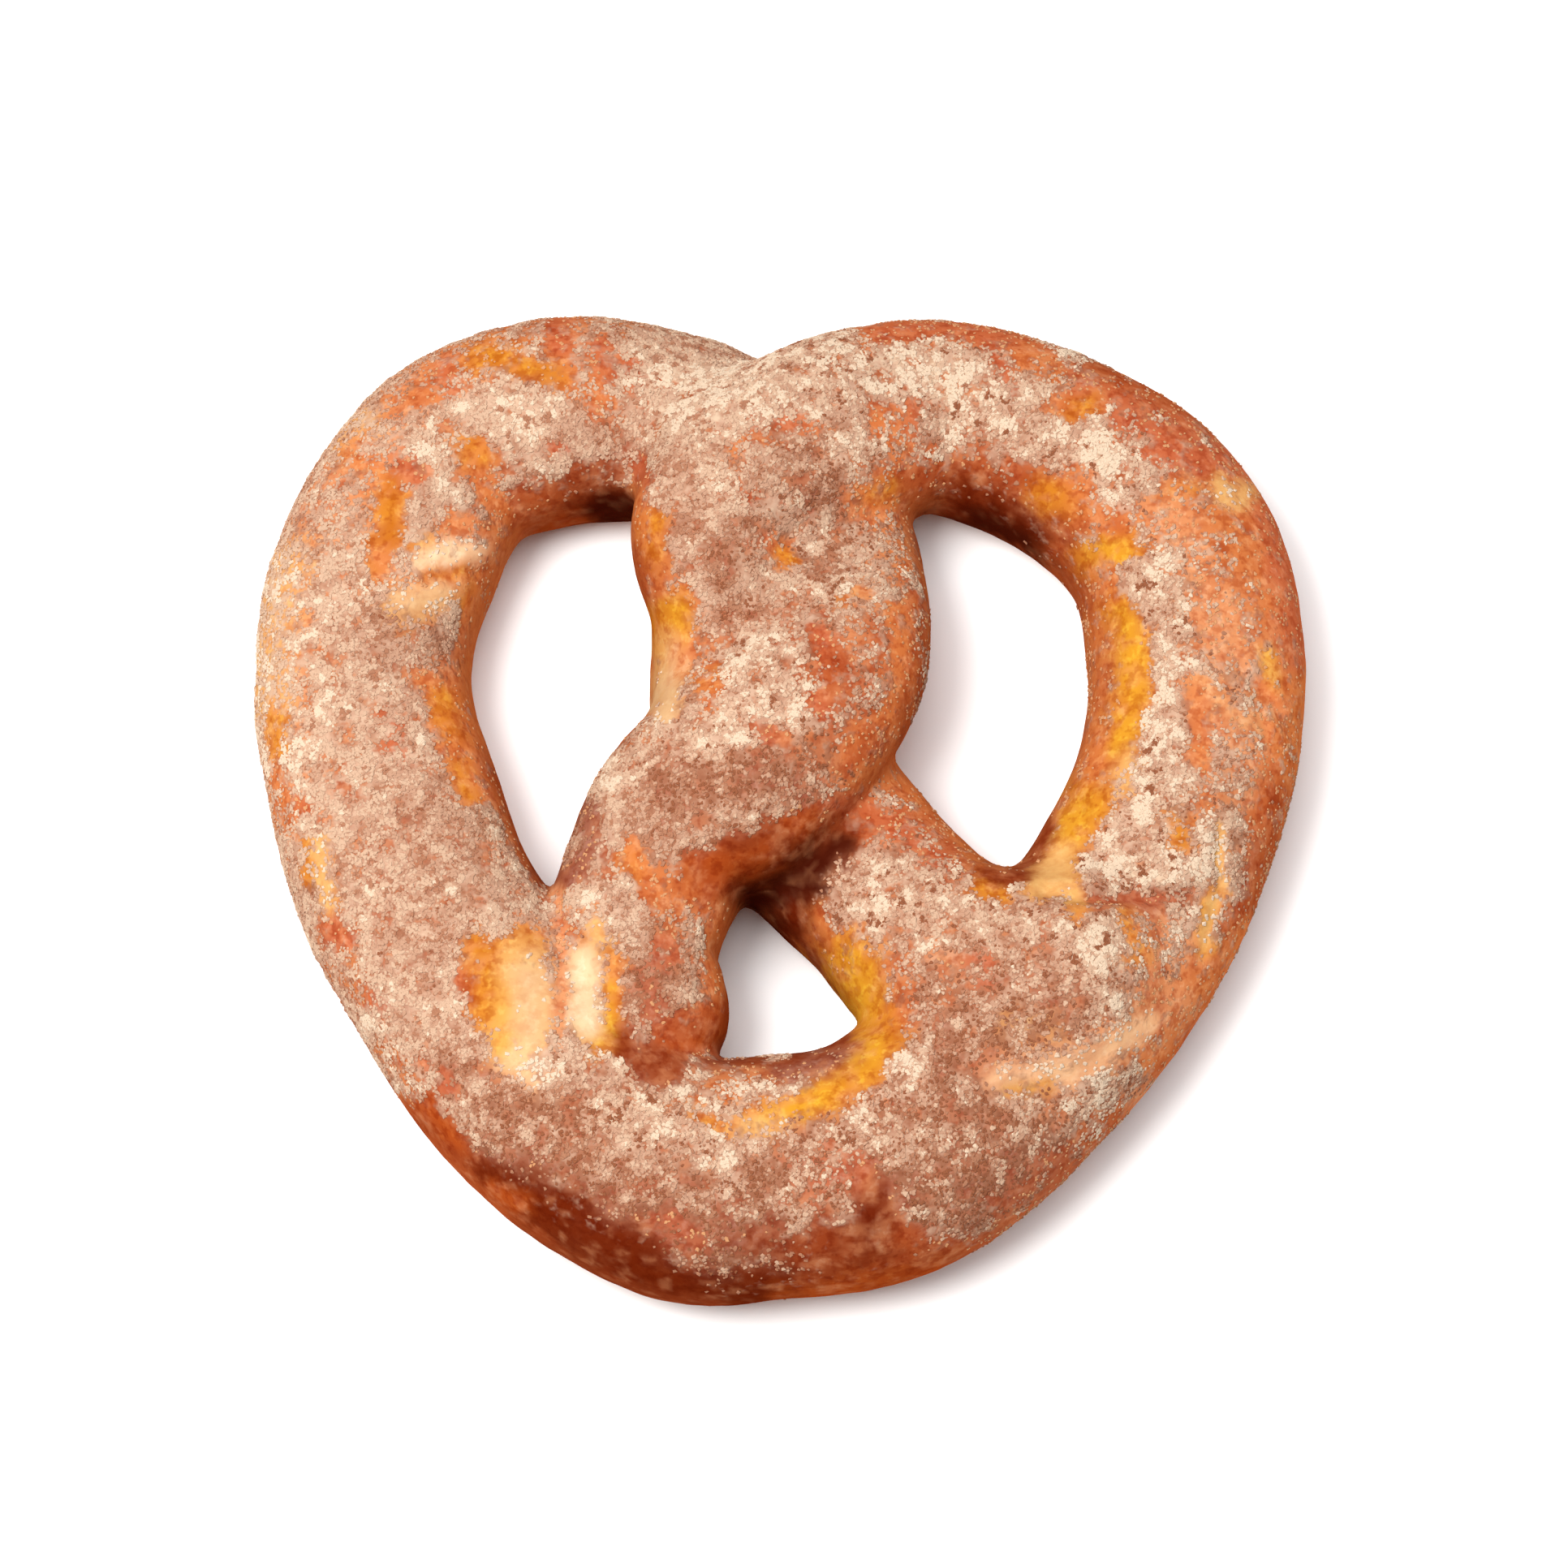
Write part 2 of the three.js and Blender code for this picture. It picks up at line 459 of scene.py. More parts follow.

# Strokes of crust that shows: kind, how bare (1 leaves no coat), half width in
# pixels of the camera's frame, and the points it runs through, each worn
# unevenly. Later strokes lie over earlier ones. The darkest strokes in the
# creases, on the walls under the holes' tops and under the crossings are
# painted shade.
STROKES = [
    # the left lobe's outer side and its top
    ("peach", 0.25, 60, (330, 1000), (320, 850), (345, 720), (420, 580), (520, 470)),
    ("straw", 0.2, 26, (352, 690), (326, 780), (326, 880)),
    ("straw", 0.25, 16, (420, 545), (450, 520)),
    ("orange", 0.35, 26, (540, 450), (620, 415), (700, 402), (760, 402)),
    ("red", 0.7, 17, (690, 404), (690, 432)),
    ("amber", 0.9, 13, (585, 438), (640, 446), (672, 458), (690, 470)),
    ("red", 0.6, 9, (548, 448), (552, 472)),
    ("orange", 0.35, 12, (480, 500), (530, 480)),
    ("red", 0.55, 12, (737, 425), (742, 470), (738, 510)),
    ("orange", 0.35, 22, (720, 470), (760, 500)),
    ("red", 0.5, 10, (675, 552), (697, 552)),
    ("red", 0.3, 14, (770, 440), (790, 470)),
    ("orange", 0.8, 16, (588, 560), (600, 604), (622, 640)),
    ("amber", 0.45, 12, (575, 545), (588, 562)),
    ("red", 0.7, 12, (500, 566), (514, 588)),
    ("orange", 0.45, 20, (440, 560), (470, 590)),
    ("amber", 0.9, 15, (482, 606), (480, 650)),
    ("amber", 0.85, 14, (476, 660), (464, 700)),
    ("orange", 0.5, 14, (470, 690), (478, 716)),
    ("gold", 0.5, 8, (504, 676), (530, 670)),
    ("orange", 0.6, 14, (560, 650), (592, 650)),
    ("straw", 0.45, 20, (490, 750), (560, 724)),
    ("peach", 0.4, 26, (512, 704), (600, 690)),
    ("milk", 0.6, 9, (528, 690), (560, 682), (596, 680)),
    ("cream", 0.5, 9, (496, 740), (546, 730)),
    ("amber", 0.4, 3, (524, 712), (580, 704)),
    ("amber", 0.85, 9, (572, 744), (594, 716)),
    ("orange", 0.9, 20, (606, 700), (592, 760), (580, 812), (576, 860)),
    ("orange", 0.8, 18, (528, 838), (546, 870), (560, 920), (574, 975)),
    ("amber", 0.75, 11, (548, 862), (562, 905)),
    ("amber", 0.6, 10, (566, 942), (580, 985)),
    ("orange", 0.9, 17, (582, 880), (604, 950), (636, 1020), (664, 1066)),
    ("rust", 0.9, 9, (600, 930), (634, 1010), (664, 1068)),
    ("brown", 0.9, 9, (664, 1074), (682, 1096), (698, 1076)),
    ("red", 0.35, 10, (480, 918), (498, 936)),
    ("red", 0.3, 8, (470, 880), (500, 890)),
    ("amber", 0.65, 9, (340, 882), (344, 925)),
    ("red", 0.6, 9, (360, 982), (374, 994)),
    ("orange", 0.4, 14, (340, 960), (352, 1010)),
    ("amber", 0.6, 9, (378, 1040), (378, 1085)),
    ("straw", 0.75, 6, (394, 1030), (396, 1080), (404, 1118)),
    ("red", 0.6, 11, (406, 1142), (424, 1160)),
    ("orange", 0.4, 12, (410, 1190), (440, 1230)),
    ("red", 0.55, 11, (456, 1228), (474, 1240)),
    ("red", 0.45, 13, (518, 1318), (546, 1338)),
    ("orange", 0.3, 14, (470, 1290), (500, 1330)),
    # hole edges at the top of the left lobe, with the shade on the wall below painted in
    # brown
    ("orange", 0.95, 18, (622, 660), (640, 640), (690, 632)),
    ("rust", 0.6, 14, (650, 606), (700, 596), (730, 580)),
    ("brown", 0.4, 12, (694, 600), (740, 584), (776, 568)),
    ("rust", 1.0, 16, (650, 640), (684, 636)),
    # the pale stretched dough on both sides of the left arm's seam
    ("orange", 0.35, 22, (640, 1150), (720, 1140)),
    ("red", 0.8, 11, (572, 1204), (578, 1226)),
    ("amber", 0.95, 17, (600, 1172), (602, 1252)),
    ("amber", 0.8, 12, (604, 1170), (654, 1160)),
    ("straw", 0.35, 14, (620, 1284), (644, 1310)),
    ("gold", 0.9, 9, (622, 1210), (622, 1290)),
    ("straw", 1.0, 22, (648, 1190), (650, 1280)),
    ("cream", 0.95, 13, (656, 1206), (654, 1276)),
    ("blush", 0.25, 16, (644, 1312), (672, 1336)),
    ("straw", 0.6, 12, (738, 1140), (742, 1172)),
    ("amber", 1.0, 12, (757, 1180), (758, 1290)),
    ("gold", 1.0, 4, (750, 1210), (752, 1284)),
    ("gold", 0.95, 11, (728, 1272), (742, 1288)),
    ("cream", 1.0, 16, (716, 1184), (718, 1264)),
    ("milk", 1.0, 13, (718, 1190), (720, 1252)),
    ("peach", 0.9, 4, (690, 1100), (690, 1200), (691, 1296)),
    # the column and the crossings
    ("red", 0.75, 11, (790, 574), (796, 590)),
    ("orange", 0.3, 16, (900, 560), (960, 540), (1000, 520)),
    ("red", 0.35, 10, (935, 520), (990, 522)),
    ("red", 0.3, 12, (900, 600), (930, 620)),
    ("orange", 0.9, 16, (786, 620), (796, 680), (812, 738)),
    ("amber", 0.7, 12, (808, 640), (806, 690)),
    ("rust", 0.8, 10, (784, 690), (798, 730), (800, 770)),
    ("red", 0.7, 10, (846, 728), (858, 748)),
    ("gold", 0.95, 14, (836, 750), (832, 800)),
    ("amber", 0.85, 12, (808, 760), (808, 800)),
    ("straw", 0.9, 12, (824, 800), (820, 850)),
    ("cream", 0.9, 10, (838, 815), (826, 850), (818, 884)),
    ("amber", 0.5, 10, (862, 838), (884, 832)),
    ("orange", 0.35, 18, (850, 800), (880, 860)),
    ("orange", 0.45, 13, (948, 660), (972, 690)),
    ("amber", 0.7, 9, (957, 680), (972, 690)),
    ("red", 0.4, 10, (930, 662), (948, 672)),
    ("red", 0.45, 9, (1074, 508), (1078, 532)),
    ("red", 0.5, 12, (1117, 500), (1122, 540)),
    ("orange", 0.35, 20, (1090, 520), (1110, 560)),
    ("orange", 0.55, 22, (1064, 606), (1120, 606)),
    ("amber", 0.4, 8, (1084, 606), (1100, 600)),
    ("rust", 0.75, 16, (1128, 590), (1160, 580)),
    ("orange", 0.35, 24, (1090, 650), (1110, 700)),
    ("amber", 0.75, 11, (1044, 738), (1062, 733)),
    ("rust", 0.4, 36, (1010, 800), (1034, 860), (1050, 900)),
    ("peach", 0.2, 20, (1064, 740), (1072, 820)),
    ("red", 0.7, 11, (1012, 772), (1016, 800)),
    ("rust", 0.5, 13, (1030, 810), (1024, 860)),
    ("rust", 0.3, 18, (1080, 780), (1090, 870)),
    ("rust", 0.9, 16, (1118, 745), (1128, 820), (1118, 890)),
    ("orange", 0.8, 10, (1104, 745), (1112, 830), (1098, 900)),
    ("red", 0.7, 12, (945, 900), (958, 912)),
    ("red", 0.5, 10, (1000, 862), (1015, 874)),
    ("orange", 0.9, 22, (1070, 918), (1096, 944)),
    ("rust", 0.5, 11, (1056, 928), (1078, 912)),
    ("orange", 0.35, 22, (990, 920), (1050, 960), (1100, 1010)),
    ("orange", 0.95, 18, (1112, 950), (1150, 1000), (1196, 1052), (1222, 1080)),
    ("orange", 0.6, 12, (1094, 940), (1118, 984)),
    ("red", 0.5, 18, (1020, 995), (1100, 1020), (1160, 1056)),
    ("rust", 0.6, 14, (1010, 1010), (1060, 1025)),
    # under the left strand, its shade painted in brown, dark and deep crust over a russet
    # strip
    ("brown", 0.7, 26, (860, 1080), (920, 1060), (985, 1030)),
    ("russet", 1.0, 20, (860, 1072), (920, 1050), (985, 1020)),
    ("brown", 0.8, 10, (862, 1084), (900, 1078), (940, 1062)),
    ("russet", 0.95, 18, (890, 1084), (935, 1072), (990, 1040)),
    ("brown", 0.5, 10, (900, 1040), (960, 1026)),
    ("rust", 0.8, 18, (850, 1104), (890, 1112)),
    ("rust", 0.8, 18, (880, 1120), (900, 1145)),
    ("brown", 0.9, 20, (985, 1060), (1030, 1036)),
    ("dark", 1.0, 26, (935, 1108), (975, 1096), (1000, 1066)),
    ("dark", 1.0, 20, (975, 1140), (996, 1092)),
    ("dark", 0.85, 12, (1010, 1060), (1040, 1036)),
    ("deep", 1.0, 14, (984, 1128), (1004, 1166)),
    ("brown", 1.0, 7, (998, 1160), (1014, 1206), (1030, 1246)),
    # the left arm
    ("mauve", 0.6, 12, (728, 1000), (724, 1050), (706, 1080)),
    ("amber", 0.75, 12, (776, 1052), (788, 1086)),
    ("orange", 0.5, 15, (776, 1040), (800, 1080), (800, 1100)),
    ("orange", 0.4, 24, (820, 1090), (830, 1150)),
    ("red", 0.5, 11, (812, 1158), (830, 1180)),
    ("red", 0.35, 16, (800, 1200), (810, 1260)),
    ("orange", 0.9, 16, (898, 1140), (884, 1190), (886, 1240), (890, 1268)),
    ("russet", 0.95, 21, (822, 1284), (866, 1276), (886, 1258)),
    ("rust", 0.8, 14, (836, 1264), (866, 1250)),
    ("brown", 0.85, 16, (772, 1296), (796, 1312), (826, 1314)),
    ("brown", 0.7, 7, (760, 1298), (775, 1270)),
    # the right lobe's top and outer side
    ("orange", 0.4, 24, (1060, 415), (1140, 402), (1220, 408), (1300, 432)),
    ("red", 0.55, 13, (1080, 412), (1140, 404), (1200, 408), (1290, 432)),
    ("red", 0.45, 12, (1225, 440), (1240, 462)),
    ("orange", 0.5, 12, (1260, 440), (1300, 450)),
    ("orange", 0.8, 18, (1310, 500), (1366, 478)),
    ("red", 0.6, 18, (1340, 470), (1400, 500)),
    ("rust", 0.8, 15, (1350, 450), (1420, 484), (1480, 528)),
    ("amber", 0.4, 10, (1322, 506), (1345, 500)),
    ("red", 0.45, 24, (1390, 520), (1440, 545)),
    ("red", 0.8, 28, (1446, 560), (1500, 586)),
    ("orange", 0.9, 34, (1530, 640), (1552, 690), (1566, 760)),
    ("red", 0.9, 20, (1520, 560), (1566, 640), (1592, 740), (1598, 820)),
    ("orange", 0.5, 34, (1490, 640), (1500, 700), (1520, 780)),
    ("amber", 0.75, 10, (1432, 612), (1466, 604)),
    ("straw", 0.6, 8, (1506, 602), (1532, 612)),
    ("orange", 0.4, 24, (1400, 640), (1450, 640)),
    ("straw", 0.55, 9, (1480, 842), (1510, 872), (1545, 892)),
    ("gold", 0.85, 10, (1562, 812), (1568, 850)),
    ("red", 0.9, 5, (1548, 838), (1566, 862), (1584, 890)),
    ("orange", 0.95, 14, (1478, 856), (1482, 940)),
    ("peach", 0.4, 30, (1500, 760), (1530, 880), (1540, 960)),
    ("peach", 0.3, 26, (1440, 640), (1470, 720)),
    ("orange", 0.55, 13, (1484, 975), (1488, 1005)),
    ("orange", 0.9, 26, (1592, 860), (1582, 940), (1566, 1000)),
    ("rust", 0.6, 20, (1570, 980), (1556, 1060), (1532, 1130), (1504, 1210)),
    ("orange", 0.8, 14, (1538, 1150), (1506, 1220)),
    ("orange", 0.6, 18, (1500, 1190), (1462, 1256), (1420, 1310)),
    ("rust", 0.5, 12, (1506, 1220), (1446, 1310), (1390, 1376)),
    ("peach", 0.3, 20, (1400, 1360), (1330, 1430), (1250, 1500)),
    ("rust", 0.4, 10, (1380, 1386), (1300, 1464), (1220, 1534)),
    # the right lobe's inner side, the shade under the hole's top painted in brown, deep and
    # dark crust, partly a darker bake
    ("rust", 0.6, 22, (1150, 596), (1200, 604)),
    ("brown", 0.8, 20, (1190, 600), (1250, 620)),
    ("rust", 0.4, 22, (1150, 560), (1230, 575)),
    ("deep", 1.0, 22, (1190, 620), (1250, 648), (1290, 672)),
    ("dark", 0.5, 12, (1205, 640), (1260, 668), (1290, 688)),
    ("rust", 0.8, 18, (1264, 590), (1320, 640)),
    ("rust", 0.85, 18, (1310, 680), (1335, 730), (1346, 770)),
    ("amber", 0.9, 15, (1284, 610), (1318, 616)),
    ("orange", 0.6, 18, (1330, 600), (1372, 660)),
    ("amber", 0.75, 15, (1342, 690), (1392, 680)),
    ("gold", 0.6, 8, (1356, 676), (1386, 690)),
    ("orange", 0.7, 14, (1360, 720), (1372, 745)),
    ("amber", 1.0, 20, (1384, 755), (1394, 800), (1402, 850)),
    ("gold", 0.6, 13, (1384, 760), (1400, 835), (1396, 870)),
    ("amber", 0.95, 18, (1382, 880), (1370, 930)),
    ("gold", 0.8, 10, (1386, 892), (1374, 925)),
    ("orange", 0.5, 12, (1350, 780), (1350, 860), (1344, 940)),
    ("orange", 0.9, 15, (1352, 940), (1336, 980), (1318, 1004)),
    ("straw", 0.35, 12, (1392, 940), (1376, 980)),
    ("amber", 1.0, 20, (1344, 985), (1314, 1040), (1290, 1082)),
    ("gold", 1.0, 14, (1330, 994), (1306, 1046)),
    ("straw", 0.95, 13, (1304, 1056), (1284, 1092)),
    ("amber", 0.8, 10, (1322, 1098), (1330, 1132)),
    ("straw", 0.5, 10, (1300, 1080), (1326, 1104)),
    ("brown", 0.9, 9, (1216, 1076), (1240, 1090), (1264, 1070), (1290, 1020)),
    ("amber", 0.8, 9, (1206, 1094), (1232, 1106)),
    # the right lobe's fold and lower half
    ("amber", 0.75, 12, (1446, 1012), (1456, 1036)),
    ("straw", 0.8, 7, (1502, 1020), (1504, 1095)),
    ("orange", 0.85, 11, (1490, 1106), (1482, 1160), (1462, 1210)),
    ("gold", 0.6, 8, (1490, 1106), (1482, 1170)),
    ("straw", 0.6, 5, (1494, 1108), (1487, 1160)),
    ("peach", 0.4, 24, (1400, 1130), (1440, 1160), (1410, 1210)),
    ("red", 0.55, 7, (1345, 1106), (1400, 1104), (1462, 1108)),
    ("orange", 0.35, 20, (1450, 1220), (1400, 1290)),
    ("amber", 0.35, 10, (1390, 1130), (1400, 1180)),
    ("red", 0.55, 8, (1190, 1190), (1224, 1178)),
    ("red", 0.4, 6, (1196, 1214), (1220, 1212)),
    ("peach", 0.35, 14, (1160, 1160), (1168, 1220)),
    ("straw", 0.25, 16, (1240, 1260), (1290, 1270)),
    ("peach", 0.2, 28, (1240, 1330), (1290, 1322), (1350, 1300)),
    # blush: the pale stretched ridge, lightened further as painted light where its slope
    # turns from the lamps
    ("blush", 0.5, 16, (1230, 1334), (1290, 1322), (1350, 1300)),
    ("gold", 0.2, 6, (1240, 1344), (1290, 1338)),
    ("peach", 0.3, 18, (1350, 1296), (1400, 1266), (1440, 1236)),
    ("blush", 0.3, 10, (1360, 1292), (1410, 1262)),
    # the right arm and the belly below it
    ("orange", 0.8, 14, (1012, 1140), (1036, 1180)),
    ("amber", 1.0, 26, (1048, 1176), (1074, 1250)),
    ("gold", 1.0, 20, (1050, 1186), (1068, 1250)),
    ("amber", 0.7, 12, (1100, 1250), (1108, 1280)),
    ("orange", 0.5, 14, (1112, 1190), (1118, 1250)),
    ("amber", 1.0, 20, (1084, 1290), (1060, 1326), (1020, 1352)),
    ("gold", 0.9, 12, (1074, 1294), (1050, 1324)),
    ("gold", 1.0, 13, (980, 1362), (1012, 1350)),
    ("gold", 0.75, 14, (930, 1378), (980, 1366)),
    ("straw", 0.5, 10, (866, 1374), (912, 1390), (962, 1390)),
    ("amber", 0.5, 9, (862, 1380), (890, 1386)),
    ("mauve", 0.7, 14, (880, 1318), (960, 1320), (1040, 1296)),
    ("brown", 0.6, 6, (880, 1308), (960, 1308), (1046, 1284)),
    ("orange", 0.3, 18, (930, 1340), (880, 1350)),
    # the belly's outer side: well baked, with an orange foot, and darker still as painted
    # shade on this front wall
    ("rust", 0.9, 22, (500, 1372), (580, 1462), (640, 1512)),
    ("brown", 0.5, 18, (524, 1392), (600, 1456)),
    ("deep", 0.25, 30, (800, 1530), (880, 1560), (960, 1560), (1020, 1556)),
    ("deep", 0.95, 37, (660, 1484), (720, 1518), (776, 1548)),
    ("deep", 0.9, 20, (606, 1446), (650, 1474), (700, 1492)),
    ("deep", 0.85, 22, (770, 1556), (820, 1580), (880, 1594), (960, 1586)),
    ("russet", 0.8, 11, (528, 1362), (560, 1404)),
    ("russet", 0.8, 11, (606, 1470), (640, 1484)),
    ("rust", 0.9, 11, (520, 1410), (600, 1494), (660, 1538)),
    ("brown", 0.9, 10, (650, 1534), (720, 1572), (790, 1602), (880, 1610)),
    ("red", 0.5, 16, (820, 1500), (860, 1530)),
    ("brown", 0.5, 22, (930, 1520), (1000, 1540)),
    ("brown", 0.9, 16, (1090, 1486), (1108, 1524), (1130, 1556)),
    ("brown", 0.9, 24, (1020, 1534), (1086, 1544)),
    ("deep", 0.9, 19, (1070, 1466), (1068, 1504), (1050, 1540)),
    ("brown", 0.85, 20, (1044, 1540), (1010, 1560)),
    ("russet", 0.1, 10, (960, 1594), (1010, 1594)),
    ("russet", 0.95, 12, (1012, 1594), (1080, 1582), (1160, 1564)),
    ("rust", 0.6, 16, (1120, 1530), (1190, 1530)),
    ("rust", 0.4, 18, (1230, 1480), (1290, 1430)),
    ("rust", 0.35, 18, (1310, 1430), (1370, 1370)),
    ("red", 0.25, 26, (1040, 1440), (1000, 1450)),
]

# The same, for what lies in the shade below the crossings: dark crust that paints that
# shade, partly a darker bake.
SHADED = [
    ("brown", 1.0, 20, (712, 626), (740, 612), (770, 590)),
    ("deep", 1.0, 22, (736, 620), (775, 604)),
    ("dark", 1.0, 24, (758, 616), (790, 596)),
    ("dark", 1.0, 12, (744, 636), (784, 630)),
    ("russet", 0.9, 6, (660, 650), (712, 642)),
]

# A thin dusting over dark crust: amount, half width, points.
DUSTED = [
    (0.17, 26, (1120, 560), (1180, 584), (1240, 600)),
    (0.12, 20, (1260, 640), (1330, 720)),
    (0.16, 24, (1012, 1120), (1040, 1180)),
    (0.16, 20, (600, 1420), (680, 1474), (760, 1514)),
    (0.18, 18, (800, 1526), (880, 1552), (960, 1546)),
    (0.15, 20, (870, 1578), (940, 1570), (1010, 1550)),
    (0.3, 26, (1150, 1510), (1220, 1496), (1300, 1430), (1360, 1370)),
    (0.16, 20, (1150, 1520), (1220, 1500)),
    (0.14, 20, (790, 1290), (860, 1240)),
    (0.32, 34, (1440, 590), (1500, 660), (1530, 780)),
    (0.23, 22, (1590, 900), (1580, 980), (1556, 1080)),
    (0.17, 22, (1556, 1080), (1500, 1210)),
    (0.28, 14, (1126, 750), (1134, 800), (1126, 880)),
    (0.2, 16, (1338, 740), (1348, 830), (1346, 880)),
    (0.2, 26, (1540, 900), (1520, 1060), (1480, 1200)),
    (0.18, 30, (1060, 740), (1090, 820), (1070, 900)),
    (0.14, 24, (1060, 960), (1150, 1040)),
    (0.14, 30, (1080, 420), (1240, 420), (1340, 470)),
    (0.18, 30, (600, 430), (700, 420)),
    (0.14, 20, (640, 606), (710, 592)),
    (0.2, 12, (604, 676), (594, 740)),
    (0.2, 26, (1380, 1360), (1300, 1440), (1200, 1520)),
]

# Where the coat hangs on to the steep sides.
KEPT = [
    (1.0, 60, (470, 1310), (400, 1190), (340, 1040), (312, 860), (335, 700)),
    (1.0, 60, (335, 700), (400, 560), (500, 455), (610, 405), (720, 388)),
    (1.0, 26, (815, 490), (800, 540), (806, 560)),
    (0.9, 50, (720, 388), (840, 400), (935, 445), (1030, 415), (1150, 395)),
    (0.6, 45, (1150, 395), (1260, 410), (1360, 455), (1450, 510)),
    (0.9, 40, (1460, 1320), (1370, 1410), (1280, 1490)),
    (0.5, 30, (1520, 1200), (1470, 1300)),
    (0.85, 22, (772, 1500), (792, 1524)),
    (0.9, 16, (864, 1490), (880, 1556)),
    (0.2, 30, (930, 1500), (970, 1550)),
    (0.6, 30, (1120, 1480), (1200, 1520)),
    (0.5, 36, (740, 960), (700, 1040)),
    (0.5, 30, (1150, 560), (1240, 600), (1300, 640)),
    (0.5, 20, (900, 1300), (1000, 1300)),
    (0.4, 40, (1060, 760), (1080, 860), (1070, 920)),
]

# Where the coat is thick and pale, partly as painted light on the tops and the left
# rim, or thin and dark with cinnamon, partly as painted shade on the belly and where
# strands curve down from the light, in the same terms: amount, half width, points.
PALE_AND_LIT = [
    (0.5, 34, (800, 470), (840, 480), (930, 474)),
    (0.75, 26, (1050, 446), (1100, 452), (1160, 466)),
    (0.35, 22, (1190, 484), (1220, 500)),
    (0.3, 28, (1330, 520), (1390, 580)),
    (0.5, 30, (590, 500), (660, 510)),
    (0.5, 18, (530, 540), (545, 600)),
    (0.3, 24, (650, 575), (720, 560)),
    (0.6, 30, (336, 720), (318, 840), (326, 930)),
    (0.2, 60, (420, 700), (420, 950)),
    (0.4, 26, (930, 790), (920, 850), (880, 900)),
    (0.6, 16, (900, 1006), (945, 985)),
    (0.15, 22, (1050, 1080), (1100, 1085), (1140, 1100)),
    (0.5, 26, (1440, 700), (1440, 780), (1430, 900)),
    (0.6, 20, (1350, 1072), (1450, 1072)),
    (0.5, 22, (1330, 1160), (1390, 1170)),
    (0.7, 16, (1358, 540), (1372, 566)),
    (0.4, 20, (750, 960), (800, 990)),
    (0.6, 22, (745, 1120), (770, 1150)),
    (0.4, 20, (1050, 1400), (1110, 1420)),
    (0.4, 16, (860, 1400), (890, 1430)),
    (0.2, 50, (520, 1150), (520, 1250)),
    (0.3, 30, (780, 1360), (850, 1440)),
]
DUSKY_AND_SHADE = [
    (0.4, 26, (700, 540), (760, 530)),
    (0.35, 40, (460, 800), (560, 800)),
    (0.35, 50, (520, 1020), (560, 1120)),
    (0.65, 50, (640, 1410), (720, 1440), (800, 1480), (900, 1520)),
    (0.3, 60, (900, 1480), (1050, 1470), (1180, 1480)),
    (0.5, 60, (1180, 1230), (1280, 1240)),
    (0.6, 54, (1180, 1400), (1230, 1390)),
    (0.4, 40, (1100, 1440), (1200, 1460), (1290, 1430)),
    (0.4, 44, (860, 620), (896, 660)),
    (0.3, 24, (1270, 524), (1300, 536)),
    (0.5, 30, (960, 560), (990, 580)),
    (0.4, 26, (800, 1120), (830, 1200)),
    (0.4, 34, (1000, 1400), (960, 1440)),
    (0.4, 30, (560, 1300), (640, 1360)),
    (0.6, 14, (1008, 612), (1030, 600)),
    (0.35, 22, (1040, 640), (1010, 700)),
    (0.5, 12, (900, 760), (936, 746)),
    (0.5, 15, (890, 700), (905, 730)),
    (0.7, 44, (816, 986), (880, 990), (950, 955)),
    (0.4, 14, (816, 960), (840, 985)),
    (0.4, 11, (905, 930), (930, 948)),
    (0.4, 9, (868, 950), (880, 985)),
    (0.5, 30, (960, 960), (1010, 930)),
    (0.7, 30, (800, 1220), (810, 1280)),
    (0.5, 20, (700, 1360), (800, 1330)),
    (0.5, 14, (1340, 1106), (1460, 1108)),
    (0.08, 24, (1530, 950), (1520, 1010)),
    (0.6, 14, (725, 1010), (706, 1070)),
    (0.4, 30, (1200, 1300), (1180, 1340)),
]
# Creases and shallow furrows in the dough: depth in mm, half width, points.
FURROWS = [
    (0.9, 7, (1288, 1098), (1340, 1103), (1400, 1103), (1466, 1108)),
    (-0.5, 14, (1340, 1080), (1400, 1080), (1450, 1084)),
    (0.5, 5, (1548, 840), (1568, 866), (1592, 900)),
    (0.35, 5, (1520, 800), (1545, 850), (1560, 905)),
    (0.3, 5, (1500, 1020), (1502, 1100), (1480, 1180)),
    (0.35, 6, (1126, 1150), (1120, 1200), (1142, 1262), (1186, 1336)),
    (0.25, 9, (1200, 1352), (1300, 1338), (1390, 1290)),
    (-0.25, 10, (1220, 1322), (1300, 1304), (1380, 1266)),
    (0.3, 5, (505, 715), (560, 708), (600, 700)),
    (-0.3, 9, (530, 690), (600, 680)),
    (-0.3, 9, (510, 738), (566, 722)),
    (0.3, 3.5, (690, 1100), (690, 1200), (691, 1300)),
    (0.25, 5, (1412, 760), (1422, 880)),
    (0.25, 6, (905, 756), (1010, 612)),
    (0.2, 5, (1004, 780), (1010, 880), (1050, 960)),
]


def stroke_mask(xy, radius, points, ragged, core=0.0, rim=1.8):
    """1 inside a stroke, falling to 0 over its worn edge."""
    best = np.full(len(xy), 1e9)
    for (ax, ay), (bx, by) in zip(points[:-1], points[1:]):
        d = np.array([bx - ax, by - ay], float)
        length2 = max((d**2).sum(), 1e-9)
        t = np.clip(((xy[:, 0] - ax) * d[0] + (xy[:, 1] - ay) * d[1]) / length2, 0, 1)
        best = np.minimum(
            best, np.hypot(xy[:, 0] - ax - t * d[0], xy[:, 1] - ay - t * d[1])
        )
    return 1 - smoothstep(core, rim, best / radius + ragged)


